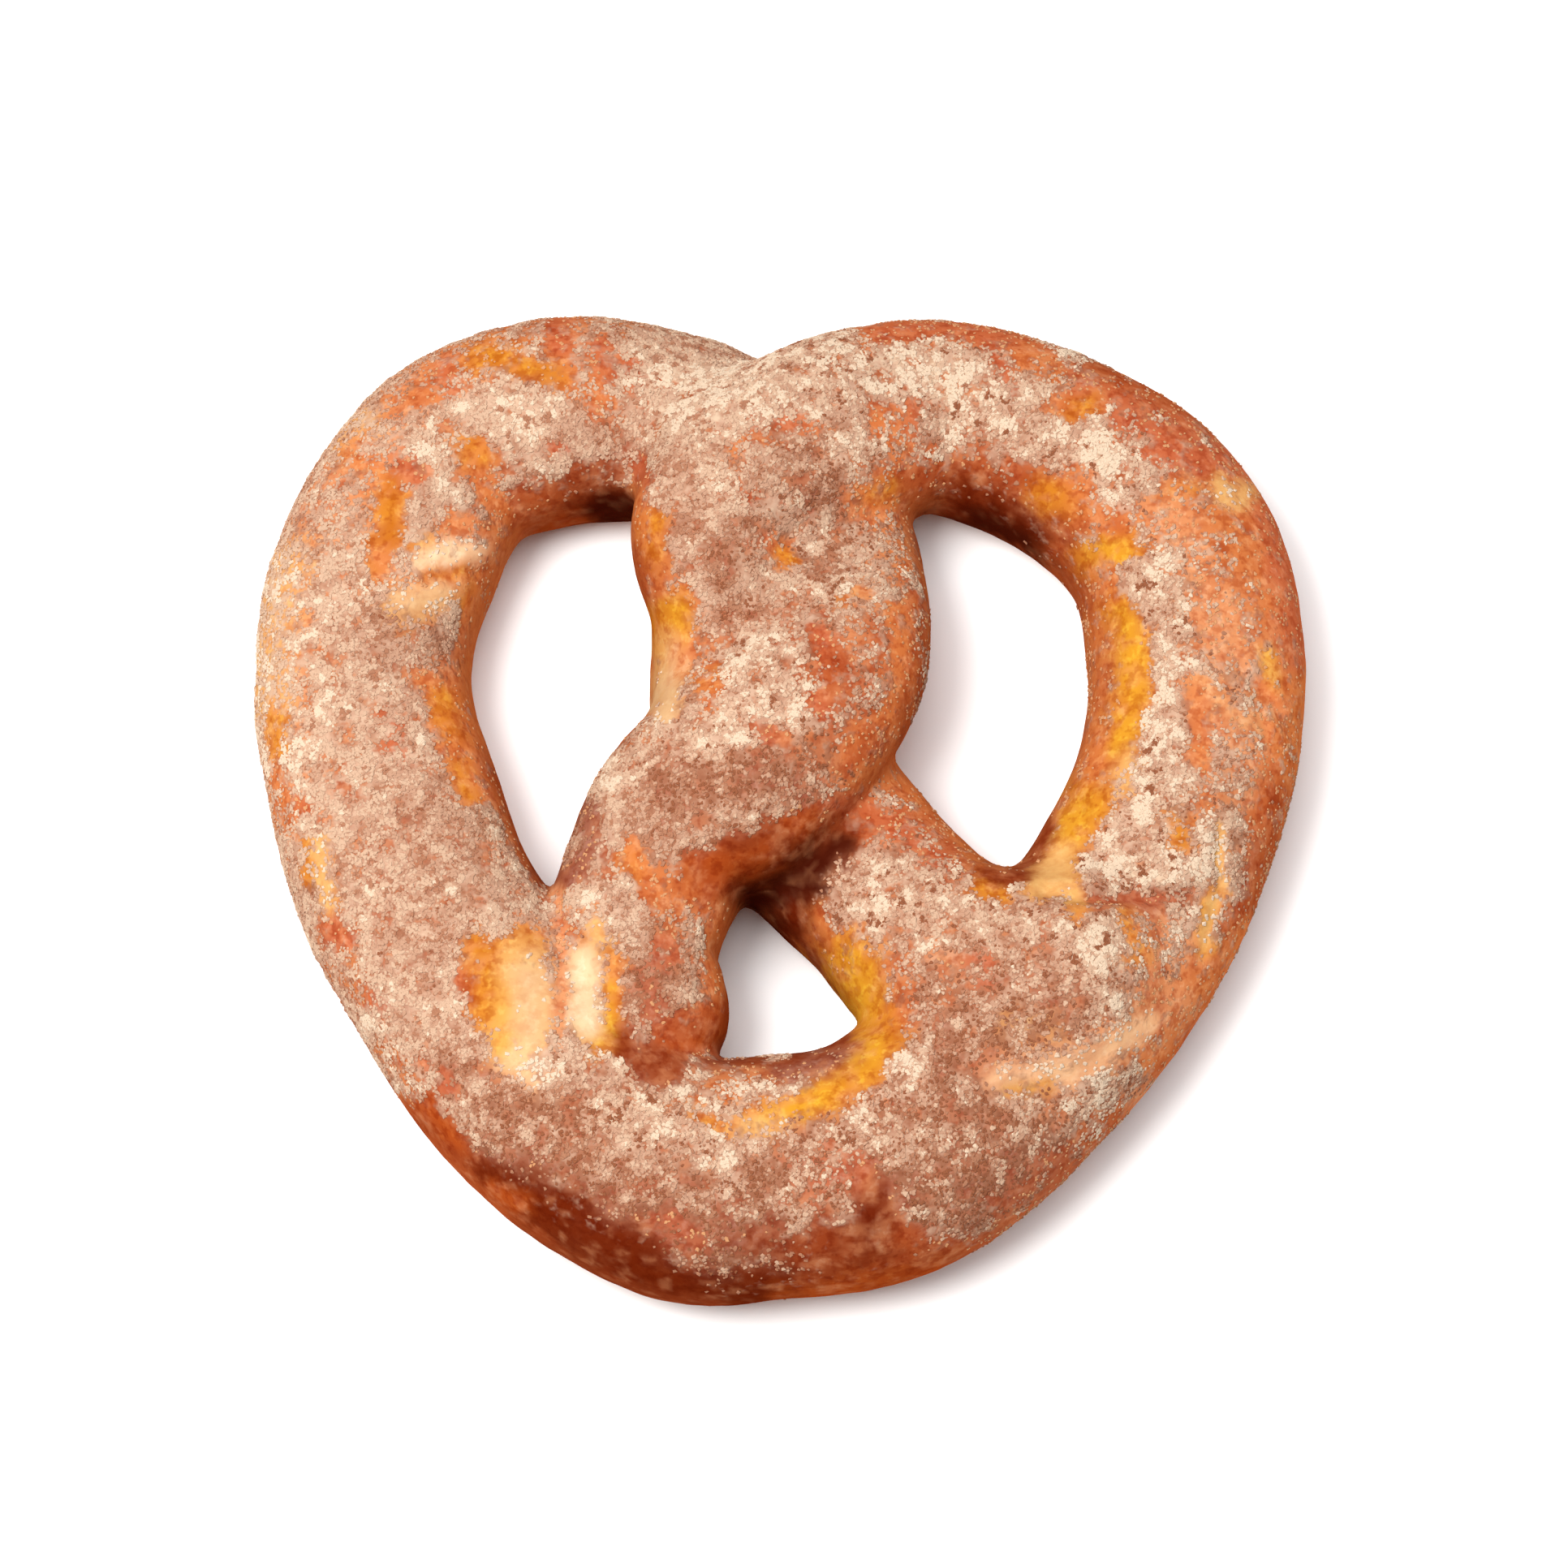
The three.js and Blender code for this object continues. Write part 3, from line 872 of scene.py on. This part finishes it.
def paint(p, n):
    """The crust's colour, how much coat lies there, and the coat's tone, with painted light
    and shade in colour and tone.
    """
    xy = seen_from_above(p)
    warp = np.stack([fbm(p, 5.0, 11), fbm(p, 5.0, 29)], axis=1)
    fine = np.stack([fbm(p, 1.9, 43, 2), fbm(p, 1.9, 51, 2)], axis=1)
    facing = -(n @ TO_SCENE)
    # on the steep sides a stroke breaks up, so that it doesn't run straight down
    steep = smoothstep(0.42, -0.15, facing)
    xy = xy + (7.0 + 24.0 * steep)[:, None] * warp + 7.0 * fine
    ragged = (0.55 + 0.5 * steep) * fbm(p, 2.4, 71, 3)
    shown = smoothstep(-0.32, 0.02, facing)
    lump = fbm(p, 14.0, 5)
    mid = fbm(p, 5.5, 6)
    small = fbm(p, 2.6, 8, 2)

    colour = np.tile(linear((196, 112, 68)), (len(p), 1))

    def mix(amount, kind):
        nonlocal colour
        colour = colour + amount[:, None] * (linear(CRUST[kind]) - colour)

    mix(0.35 * smoothstep(0.3, 0.9, n[:, 2]), "peach")
    mix(0.6 * smoothstep(0.0, 0.5, mid), "orange")
    mix(0.5 * smoothstep(0.1, 0.6, lump), "red")
    mix(0.35 * smoothstep(0.1, 0.5, small), "amber")
    mix(0.5 * smoothstep(0.0, 0.5, -mid), "mauve")
    # low on the sides the crust is baked darker, partly as painted shade; the sides facing
    # the front are painted darker as shade, partly a darker bake; underneath it is dull and
    # pale
    mix(0.8 * smoothstep(15.0, 5.0, p[:, 2] + 3 * mid), "rust")
    mix(0.7 * smoothstep(-0.1, -0.65, n[:, 1]) * smoothstep(0.75, 0.25, n[:, 2]), "deep")
    mix(smoothstep(-0.55, -0.9, n[:, 2] + 0.2 * mid), "peach")

    kept = np.zeros(len(p))
    for amount, radius, *points in KEPT:
        m = amount * stroke_mask(xy, radius * 1.3, points, ragged) * shown
        kept = np.maximum(kept, m)
    level = n[:, 2] + 0.62 * kept + 0.16 * mid + 0.10 * lump + 0.06 * small
    coat = smoothstep(0.34, 0.74, level)
    coat *= smoothstep(1.5, 8.0, p[:, 2] + 3.0 * mid)
    worn = smoothstep(0.05, 0.5, 0.8 * fbm(p, 4.0, 15) + 0.6 * small)
    mix(0.35 * worn, "rust")
    coat *= 0.80 - 0.34 * worn
    # hardly anywhere on top is the crust quite clean
    dust = smoothstep(0.05, 0.45, n[:, 2] + 0.3 * kept) * smoothstep(2.0, 9.0, p[:, 2])
    coat = np.maximum(coat, 0.20 * dust)
    tone = 0.22 * lump + 0.28 * mid + 0.36 * fbm(p, 3.4, 17, 3, 0.7)

    clean = np.zeros(len(p))
    # cinnamon and sugar stain the crust under the coat
    mix(0.7 * smoothstep(0.15, 0.65, coat), "stained")
    for layer, where in (
        (STROKES, shown),
        (SHADED, shown * smoothstep(20.0, 16.0, p[:, 2])),
    ):
        for kind, bare, radius, *points in layer:
            m = stroke_mask(xy, radius * 1.15, points, ragged, 0.3, 1.7) * where
            wide = 3.0 if kind in ("cream", "straw", "peach", "blush") else 1.0
            near = stroke_mask(xy, radius * 1.2 + 2.0 + wide, points, 0.7 * ragged)
            mix((0.5 + 0.5 * bare**0.5) * near * where, kind)
            coat = coat * (1 - bare**0.9 * m)
            if kind not in ("orange", "red", "peach", "rust", "straw"):
                clean = np.maximum(clean, bare * m)
    # a few grains lie even on the orange crust
    coat = np.maximum(coat, 0.17 * dust * (1 - clean))
    for amount, radius, *points in DUSTED:
        m = amount * stroke_mask(xy, radius * 1.2, points, ragged) * shown
        coat = np.maximum(coat, m * smoothstep(0.0, 4.0, p[:, 2]))
    # the crust is mottled a millimetre or two at a time, least where it is pale
    # and stretched, and where it is dark from baking and from painted shade
    mottle = fbm(p, 2.0, 111, 2, 0.8)
    other = fbm(p, 2.4, 121, 2, 0.8)
    even = smoothstep(0.24, 0.44, colour[:, 1])
    even += 0.45 * smoothstep(0.05, 0.02, colour[:, 1])
    even += 0.8 * smoothstep(0.014, 0.009, colour[:, 1])
    patchy = 1 - 0.7 * np.clip(even, 0, 1)
    patchy *= 0.4 + 0.6 * smoothstep(0.15, 0.6, facing)
    pale_kind = 0.5 * colour + 0.5 * linear(CRUST["peach"])
    colour = colour + (0.7 * patchy * smoothstep(0.05, 0.5, mottle))[:, None] * (
        pale_kind - colour
    )
    red_kind = colour * np.array([0.82, 0.64, 0.62])
    colour = colour + (0.8 * patchy * smoothstep(0.05, 0.5, other))[:, None] * (
        red_kind - colour
    )
    thick = np.zeros(len(p))
    # painted light as well as thick coat: the coat's tone is raised
    for amount, radius, *points in PALE_AND_LIT:
        m = amount * shown * stroke_mask(xy, radius * 1.2, points, ragged)
        tone = tone + m
        thick = np.maximum(thick, m)
    # painted shade as well as cinnamon: the tone is lowered, the coat thinned and the crust
    # turned mauve
    for amount, radius, *points in DUSKY_AND_SHADE:
        m = amount * shown * stroke_mask(xy, radius * 1.2, points, ragged)
        tone = tone - 1.3 * m
        coat = coat * (1 - 0.3 * m)
        lit = smoothstep(0.03, 0.1, colour[:, 1])
        mix(0.8 * m * lit * smoothstep(0.02, 0.3, coat), "mauve")
    # painted light: the sides that face +x, away from the key lamp, are a little lighter
    colour = colour * (1 + 0.24 * smoothstep(0.2, 0.8, n[:, 0]))[:, None]
    coat = coat + 0.2 * thick * smoothstep(0.2, 0.5, coat)
    return colour, np.clip(coat, 0, 1), np.clip(tone, -1, 1.2), patchy


def furrows(p, n):
    xy = seen_from_above(p)
    shown = smoothstep(0.0, 0.25, -(n @ TO_SCENE))
    depth = np.zeros(len(p))
    for amount, radius, *points in FURROWS:
        depth += amount * stroke_mask(xy, radius * 1.3, points, 0) * shown
    return depth


crust, coat, tone, patchy = paint(verts, normals)
clump = fbm(verts, 2.3, 201, 3, 0.8)
# the coat gathers in clumps a millimetre or two across, with gaps between
cover = coat + 0.35 * clump * smoothstep(0.0, 0.5, coat)
# how pale the coat is: paler where it is thick, duskier with cinnamon, with the painted
# light and shade of the pale and dusky strokes in it
light = 0.42 + 0.36 * tone + 0.34 * clump + 0.3 * (coat - 0.6)
light += 0.10 * fbm(verts, 4.2, 211, 2)
light = np.minimum(light, 0.98)
# the belly's right half and the right lobe's top are the most unevenly coated
uneven = 0.7 + 0.6 * smoothstep(-20.0, 15.0, verts[:, 0])
uneven += 0.45 * smoothstep(-25.0, -50.0, verts[:, 1])
middle = np.hypot(verts[:, 0] + 8.0, verts[:, 1] - 4.0)
uneven += 0.35 * smoothstep(20.0, 8.0, middle)
relief = 0.5 * fbm(verts, 20.0, 91) + 0.25 * fbm(verts, 8.0, 92)
relief += coat * (0.2 + 0.2 * clump)
relief += (1 - coat) * 0.06 * fbm(verts, 3.0, 94)
relief -= furrows(verts, normals)
standing = smoothstep(0.4, 3.0, verts[:, 2])
verts = verts + (relief * standing)[:, None] * normals
verts[:, 2] = np.maximum(verts[:, 2], 0.02)
normals = normals_of(verts, quads)


# --------------------------------------------------------------------------
# Meshes and materials
# --------------------------------------------------------------------------
def new_mesh(name, points, faces, smooth=True):
    """An object from arrays: points in millimetres, all faces of one size."""
    mesh = bpy.data.meshes.new(name)
    side = faces.shape[1]
    mesh.vertices.add(len(points))
    mesh.vertices.foreach_set("co", (points * MM).astype(np.float32).ravel())
    mesh.loops.add(faces.size)
    mesh.loops.foreach_set("vertex_index", faces.astype(np.int32).ravel())
    mesh.polygons.add(len(faces))
    mesh.polygons.foreach_set(
        "loop_start", np.arange(0, faces.size, side, dtype=np.int32)
    )
    mesh.polygons.foreach_set("use_smooth", np.full(len(faces), smooth))
    mesh.update(calc_edges=True)
    mesh.validate()
    obj = bpy.data.objects.new(name, mesh)
    bpy.context.scene.collection.objects.link(obj)
    return obj


def attribute(obj, name, values):
    values = np.asarray(values, np.float32)
    if values.ndim == 1:
        a = obj.data.attributes.new(name, "FLOAT", "POINT")
        a.data.foreach_set("value", values)
    else:
        a = obj.data.color_attributes.new(name, "FLOAT_COLOR", "POINT")
        rgba = np.concatenate([values, np.ones((len(values), 1), np.float32)], axis=1)
        a.data.foreach_set("color", rgba.ravel())


class Nodes:
    """A material's nodes, with short names for the few kinds used here."""

    def __init__(self, name):
        self.material = bpy.data.materials.new(name)
        self.material.use_nodes = True
        self.tree = self.material.node_tree
        self.shader = self.tree.nodes["Principled BSDF"]

    def add(self, kind, inputs=None, **settings):
        node = self.tree.nodes.new(kind)
        for key, value in settings.items():
            setattr(node, key, value)
        for key, value in (inputs or {}).items():
            socket = node.inputs[key]
            if isinstance(value, bpy.types.NodeSocket):
                self.tree.links.new(value, socket)
            else:
                socket.default_value = value
        return node

    def read(self, name, vector=False):
        node = self.add("ShaderNodeAttribute", attribute_name=name)
        return node.outputs["Color" if vector else "Fac"]

    def math(self, operation, a, b=0.0, c=0.0, clamp=False):
        node = self.add(
            "ShaderNodeMath",
            {0: a, 1: b, 2: c},
            operation=operation,
            use_clamp=clamp,
        )
        return node.outputs[0]

    def noise(self, scale, detail=2.0, rough=0.5, seed=0.0):
        place = self.add("ShaderNodeTexCoord").outputs["Object"]
        shifted = self.add(
            "ShaderNodeVectorMath",
            {0: place, 1: (seed, seed * 0.7, seed * 1.3)},
            operation="ADD",
        )
        node = self.add(
            "ShaderNodeTexNoise",
            {
                "Vector": shifted.outputs[0],
                "Scale": scale,
                "Detail": detail,
                "Roughness": rough,
            },
        )
        return node.outputs["Fac"]

    def ramp(self, value, low, high, to_low=0.0, to_high=1.0):
        node = self.add(
            "ShaderNodeMapRange",
            {
                "Value": value,
                "From Min": low,
                "From Max": high,
                "To Min": to_low,
                "To Max": to_high,
            },
            interpolation_type="SMOOTHSTEP",
        )
        return node.outputs["Result"]

    def mix(self, amount, a, b):
        node = self.add("ShaderNodeMix", data_type="RGBA", clamp_factor=True)
        for socket, value in ((0, amount), (6, a), (7, b)):
            if isinstance(value, bpy.types.NodeSocket):
                self.tree.links.new(value, node.inputs[socket])
            else:
                node.inputs[socket].default_value = value
        return node.outputs[2]

    def set(self, **values):
        for key, value in values.items():
            socket = self.shader.inputs[key.replace("_", " ")]
            if isinstance(value, bpy.types.NodeSocket):
                self.tree.links.new(value, socket)
            else:
                socket.default_value = value


ALBEDO = 0.66  # what a surface sends back of the light that a full white would
POWDER = 0.56


def rgba(rgb, scale=ALBEDO):
    return (*(linear(rgb) * scale), 1.0)


def dough_material():
    m = Nodes("crust_and_coat")
    light_at = m.read("light")
    cover_at = m.read("cover")
    base = m.read("crust", vector=True)
    patchy_at = m.read("patchy")
    # crust: browned unevenly, a millimetre or two at a time
    fine = m.noise(640.0, 2.5, 0.6)
    other = m.noise(700.0, 2.5, 0.6, 3.1)

    def tinted(amount, colour, factor):
        node = m.add(
            "ShaderNodeMix",
            {},
            data_type="RGBA",
            blend_type="MULTIPLY",
            clamp_factor=True,
        )
        m.tree.links.new(amount, node.inputs[0])
        m.tree.links.new(colour, node.inputs[6])
        node.inputs[7].default_value = (*factor, 1.0)
        return node.outputs[2]

    darker = m.math("MULTIPLY", m.ramp(fine, 0.46, 0.64), patchy_at)
    paler = m.math("MULTIPLY", m.ramp(other, 0.50, 0.66), patchy_at)
    crust_colour = tinted(darker, base, (0.78, 0.60, 0.54))
    crust_colour = tinted(paler, crust_colour, (1.12, 1.38, 1.65))
    # coat: powder between the grains, paler or duskier with cinnamon, and with the painted
    # light and shade carried in its paleness
    speck = m.noise(1300.0, 1.0, 0.5, 7.7)
    blot = m.noise(340.0, 2.5, 0.6, 9.1)
    level = m.math("ADD", light_at, m.math("MULTIPLY_ADD", speck, 0.4, -0.2))
    level = m.math("ADD", level, m.math("MULTIPLY_ADD", blot, 1.5, -0.75))
    powder = m.mix(
        m.ramp(level, 0.0, 0.4), rgba((170, 112, 84), POWDER), rgba((206, 160, 133), POWDER)
    )
    powder = m.mix(m.ramp(level, 0.3, 0.7), powder, rgba((226, 187, 159), POWDER))
    powder = m.mix(m.ramp(level, 0.65, 1.05), powder, rgba((246, 218, 186), POWDER))
    # small brown spots where cinnamon has clotted
    spots = m.ramp(m.noise(480.0, 1.5, 0.5, 5.3), 0.54, 0.68, 0.0, 0.8)
    powder = tinted(spots, powder, (0.74, 0.60, 0.54))
    # the coat is specks, closer together where it is thick
    edge = m.noise(440.0, 2.5, 0.65, 1.3)
    spread = m.ramp(cover_at, 0.0, 0.14, 0.3, 1.0)
    edge = m.math("MULTIPLY", m.math("MULTIPLY_ADD", edge, 3.0, -1.5), spread)
    cover = m.math("ADD", cover_at, edge)
    covered = m.ramp(cover, 0.22, 0.78)
    # a thin dusting lets the crust show through
    dense = m.ramp(cover_at, 0.05, 0.6, 0.5, 0.86)
    colour = m.mix(m.math("MULTIPLY", covered, dense), crust_colour, powder)
    rough = m.ramp(covered, 0.0, 1.0, 0.5, 0.9)
    height = m.math(
        "ADD",
        m.math("MULTIPLY", covered, m.math("MULTIPLY_ADD", speck, 0.6, 0.5)),
        m.math("MULTIPLY", blot, 1.2),
    )
    bump = m.add(
        "ShaderNodeBump", {"Height": height, "Strength": 0.4, "Distance": 0.0003}
    )
    m.set(Base_Color=colour, Roughness=rough, Normal=bump.outputs["Normal"])
    m.shader.inputs["Specular IOR Level"].default_value = 0.0
    return m.material


dough = new_mesh("dough", verts, quads)
attribute(dough, "crust", crust * ALBEDO)
attribute(dough, "cover", cover)
attribute(dough, "light", light)
attribute(dough, "patchy", patchy)
dough.data.materials.append(dough_material())
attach(dough, "root")
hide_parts("pretzel")


# --------------------------------------------------------------------------
# Grains of sugar and cinnamon
# --------------------------------------------------------------------------
# A crystal: two small triangles, one turned against the other, and the six
# faces between them.
CRYSTAL = np.array(
    [
        (math.cos(t) * 0.5, math.sin(t) * 0.5, z)
        for z, turn in ((-0.5, 0.0), (0.5, math.pi / 3))
        for t in (turn, turn + 2 * math.pi / 3, turn + 4 * math.pi / 3)
    ]
)
CRYSTAL_FACES = np.array(
    [
        (0, 2, 1),
        (3, 4, 5),
        (0, 1, 3),
        (1, 4, 3),
        (1, 2, 4),
        (2, 5, 4),
        (2, 0, 5),
        (0, 3, 5),
    ]
)


def scatter(count, weight, value, seed):
    """Random places on the dough, likelier where weight is high, and values there."""
    rng = np.random.default_rng(seed)
    tri = np.vstack([quads[:, [0, 1, 2]], quads[:, [0, 2, 3]]])
    a, b, c = (verts[tri[:, k]] for k in range(3))
    area = np.linalg.norm(np.cross(b - a, c - a), axis=1) / 2
    chance = area * weight[tri].mean(axis=1)
    chance = np.cumsum(chance / chance.sum())
    pick = np.searchsorted(chance, rng.random(count)).clip(0, len(tri) - 1)
    u, v = rng.random(count), rng.random(count)
    flip = u + v > 1
    u[flip], v[flip] = 1 - u[flip], 1 - v[flip]
    t = tri[pick]
    w = np.stack([1 - u - v, u, v], axis=1)
    place = (verts[t] * w[:, :, None]).sum(1)
    normal = (normals[t] * w[:, :, None]).sum(1)
    normal /= np.linalg.norm(normal, axis=1)[:, None]
    return place, normal, (value[t] * w[:, :, None]).sum(1), rng


def crystals(name, colour, place, normal, size, seed, rough):
    """One kind of grain, as one mesh."""
    rng = np.random.default_rng(seed)
    n = len(place)
    # mostly lying on a face, tipped and turned at random
    axis = normal + 0.11 * rng.normal(size=(n, 3))
    axis /= np.linalg.norm(axis, axis=1)[:, None]
    other = rng.normal(size=(n, 3))
    x = np.cross(axis, other)
    x /= np.linalg.norm(x, axis=1)[:, None]
    y = np.cross(axis, x)
    span = (size[0] + (size[1] - size[0]) * rng.random((n, 1)) ** 1.6) * np.stack(
        [
            rng.uniform(0.95, 1.3, n),
            rng.uniform(0.75, 1.05, n),
            rng.uniform(0.22, 0.36, n),
        ],
        axis=1,
    )
    corner = CRYSTAL[None] * (1 + 0.22 * rng.uniform(-1, 1, (n, 6, 1)))
    local = corner * span[:, None, :]
    points = (
        place[:, None]
        + local[:, :, 0:1] * x[:, None]
        + local[:, :, 1:2] * y[:, None]
        + local[:, :, 2:3] * axis[:, None]
        + normal[:, None] * (0.2 * span[:, 2])[:, None, None]
    )
    faces = (np.arange(n)[:, None, None] * 6 + CRYSTAL_FACES[None]).reshape(-1, 3)
    points = points.reshape(-1, 3)
    points[:, 2] = np.maximum(points[:, 2], 0.02)
    obj = new_mesh(name, points, faces, smooth=False)
    m = Nodes(name + "_grain")
    m.set(Base_Color=rgba(colour, POWDER), Roughness=rough)
    m.shader.inputs["Specular IOR Level"].default_value = 0.02
    obj.data.materials.append(m.material)
    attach(obj, "root")
    return obj


# Kinds of grain: name, slot, colour, up to which paleness of the coat, sizes in
# millimetres, roughness. Cinnamon clings where the coat is thin and dusky, dusky partly as
# painted shade.
KINDS = [
    ("cinnamon_specks", "cinnamon", (160, 97, 67), 0.08, (0.34, 0.62), 0.8),
    ("sugar_brown", "sugar", (188, 130, 100), 0.26, (0.38, 0.72), 0.7),
    ("sugar_rosy", "sugar", (210, 162, 133), 0.45, (0.40, 0.76), 0.6),
    ("sugar_tan", "sugar", (226, 186, 156), 0.69, (0.40, 0.78), 0.6),
    ("sugar_pale", "sugar", (246, 217, 188), 9.0, (0.40, 0.80), 0.6),
    ("sugar_honey", "sugar", (226, 162, 114), 99.0, (0.36, 0.66), 0.6),
]
MOST_GRAINS = 24800  # of one kind


def coat_grains(count):
    weight = np.clip(cover - 0.08, 0, 1) ** 1.4
    at = np.stack([light, uneven, cover, crust[:, 1]], axis=1)
    place, normal, at, rng = scatter(2 * count, weight, at, 1)
    # grains gather in small clusters, the palest in the thickest of them
    cluster = fbm(place, 2.2, 301, 3, 0.8)
    chance = np.exp(0.7 * cluster) * rng.uniform(0.5, 1.5, 2 * count)
    keep = np.argsort(-chance, kind="stable")[:count]
    place, normal, at, cluster = place[keep], normal[keep], at[keep], cluster[keep]
    # paleness follows the coat's, painted light and shade included, and is lower on dark
    # crust, painted shade included
    # and the palest places hold some duskier ones
    pale = np.minimum(at[:, 0], 0.76) - 0.3 * smoothstep(0.09, 0.02, at[:, 3])
    swing = at[:, 1] * (0.55 * cluster + 0.07 * rng.normal(size=count))
    pale += np.where(swing > 0, 0.82, 1.1) * swing + 0.03
    # here and there cinnamon has clotted into a dark fleck
    fleck = smoothstep(0.30, 0.5, fbm(place, 1.4, 311, 2))
    fleck *= np.minimum(0.42 + 0.44 * at[:, 1], 1) * smoothstep(0.3, 0.7, at[:, 2])
    pale += fleck * np.minimum(0.02 - pale, 0)
    # the last thin grains are neither white on dark crust nor dark on pale
    thin = smoothstep(0.36, 0.16, at[:, 2])
    pale += thin * (0.10 + 0.40 * smoothstep(0.02, 0.2, at[:, 3]) - pale)
    pale = np.maximum(pale, 0.85 * smoothstep(0.26, 0.42, at[:, 3]))
    # on bare orange crust single crystals take on its colour
    alone = (thin > 0.5) & (at[:, 3] > 0.10) & (at[:, 3] < 0.34)
    pale[alone] = 10.0
    low = -9.0
    for seed, (name, slot, colour, high, size, rough) in enumerate(KINDS):
        some = np.flatnonzero((pale >= low) & (pale < high))[:MOST_GRAINS]
        crystals(name, colour, place[some], normal[some], size, 11 + seed, rough)
        low = high


coat_grains(76000)


# --------------------------------------------------------------------------
# Floor, lights and camera
# --------------------------------------------------------------------------
def floor_and_lights():
    size = 1600.0
    floor = new_mesh(
        "floor",
        np.array(
            [(-size, -size, 0), (size, -size, 0), (size, size, 0), (-size, size, 0)],
            float,
        ),
        np.array([(0, 1, 2, 3)]),
    )
    m = Nodes("paper_white")
    m.set(Base_Color=(0.94, 0.94, 0.94, 1.0), Roughness=0.9)
    m.shader.inputs["Specular IOR Level"].default_value = 0.1
    floor.data.materials.append(m.material)

    world = bpy.data.worlds.new("studio")
    world.use_nodes = True
    back = world.node_tree.nodes["Background"]
    back.inputs["Color"].default_value = (1.0, 1.0, 1.0, 1.0)
    back.inputs["Strength"].default_value = 0.50
    bpy.context.scene.world = world

    def area(name, place, size_mm, watts, colour=(1, 1, 1)):
        light = bpy.data.lights.new(name, "AREA")
        light.shape = "DISK"
        light.size = size_mm * MM
        light.energy = watts
        light.color = colour
        obj = bpy.data.objects.new(name, light)
        bpy.context.scene.collection.objects.link(obj)
        obj.location = Vector(place) * MM
        obj.rotation_euler = (
            (Vector((0, 0, 12)) - Vector(place)).to_track_quat("-Z", "Y").to_euler()
        )
        return obj

    area("key", (-350, -100, 820), 460, 9.0, (1.0, 0.985, 0.96))
    area("top", (-40, 60, 880), 700, 5.5)

    camera = bpy.data.cameras.new("camera")
    camera.lens = LENS
    camera.sensor_width = SENSOR
    camera.sensor_fit = "HORIZONTAL"
    camera.clip_start = 0.01
    camera.clip_end = 10
    obj = bpy.data.objects.new("camera", camera)
    bpy.context.scene.collection.objects.link(obj)
    place = AIM - TO_SCENE * DISTANCE
    obj.location = Vector(place) * MM
    obj.rotation_euler = (math.pi / 2 - ELEVATION, 0.0, 0.0)
    bpy.context.scene.camera = obj
    bpy.context.scene.view_settings.view_transform = "Standard"
    bpy.context.scene.view_settings.look = "None"


floor_and_lights()
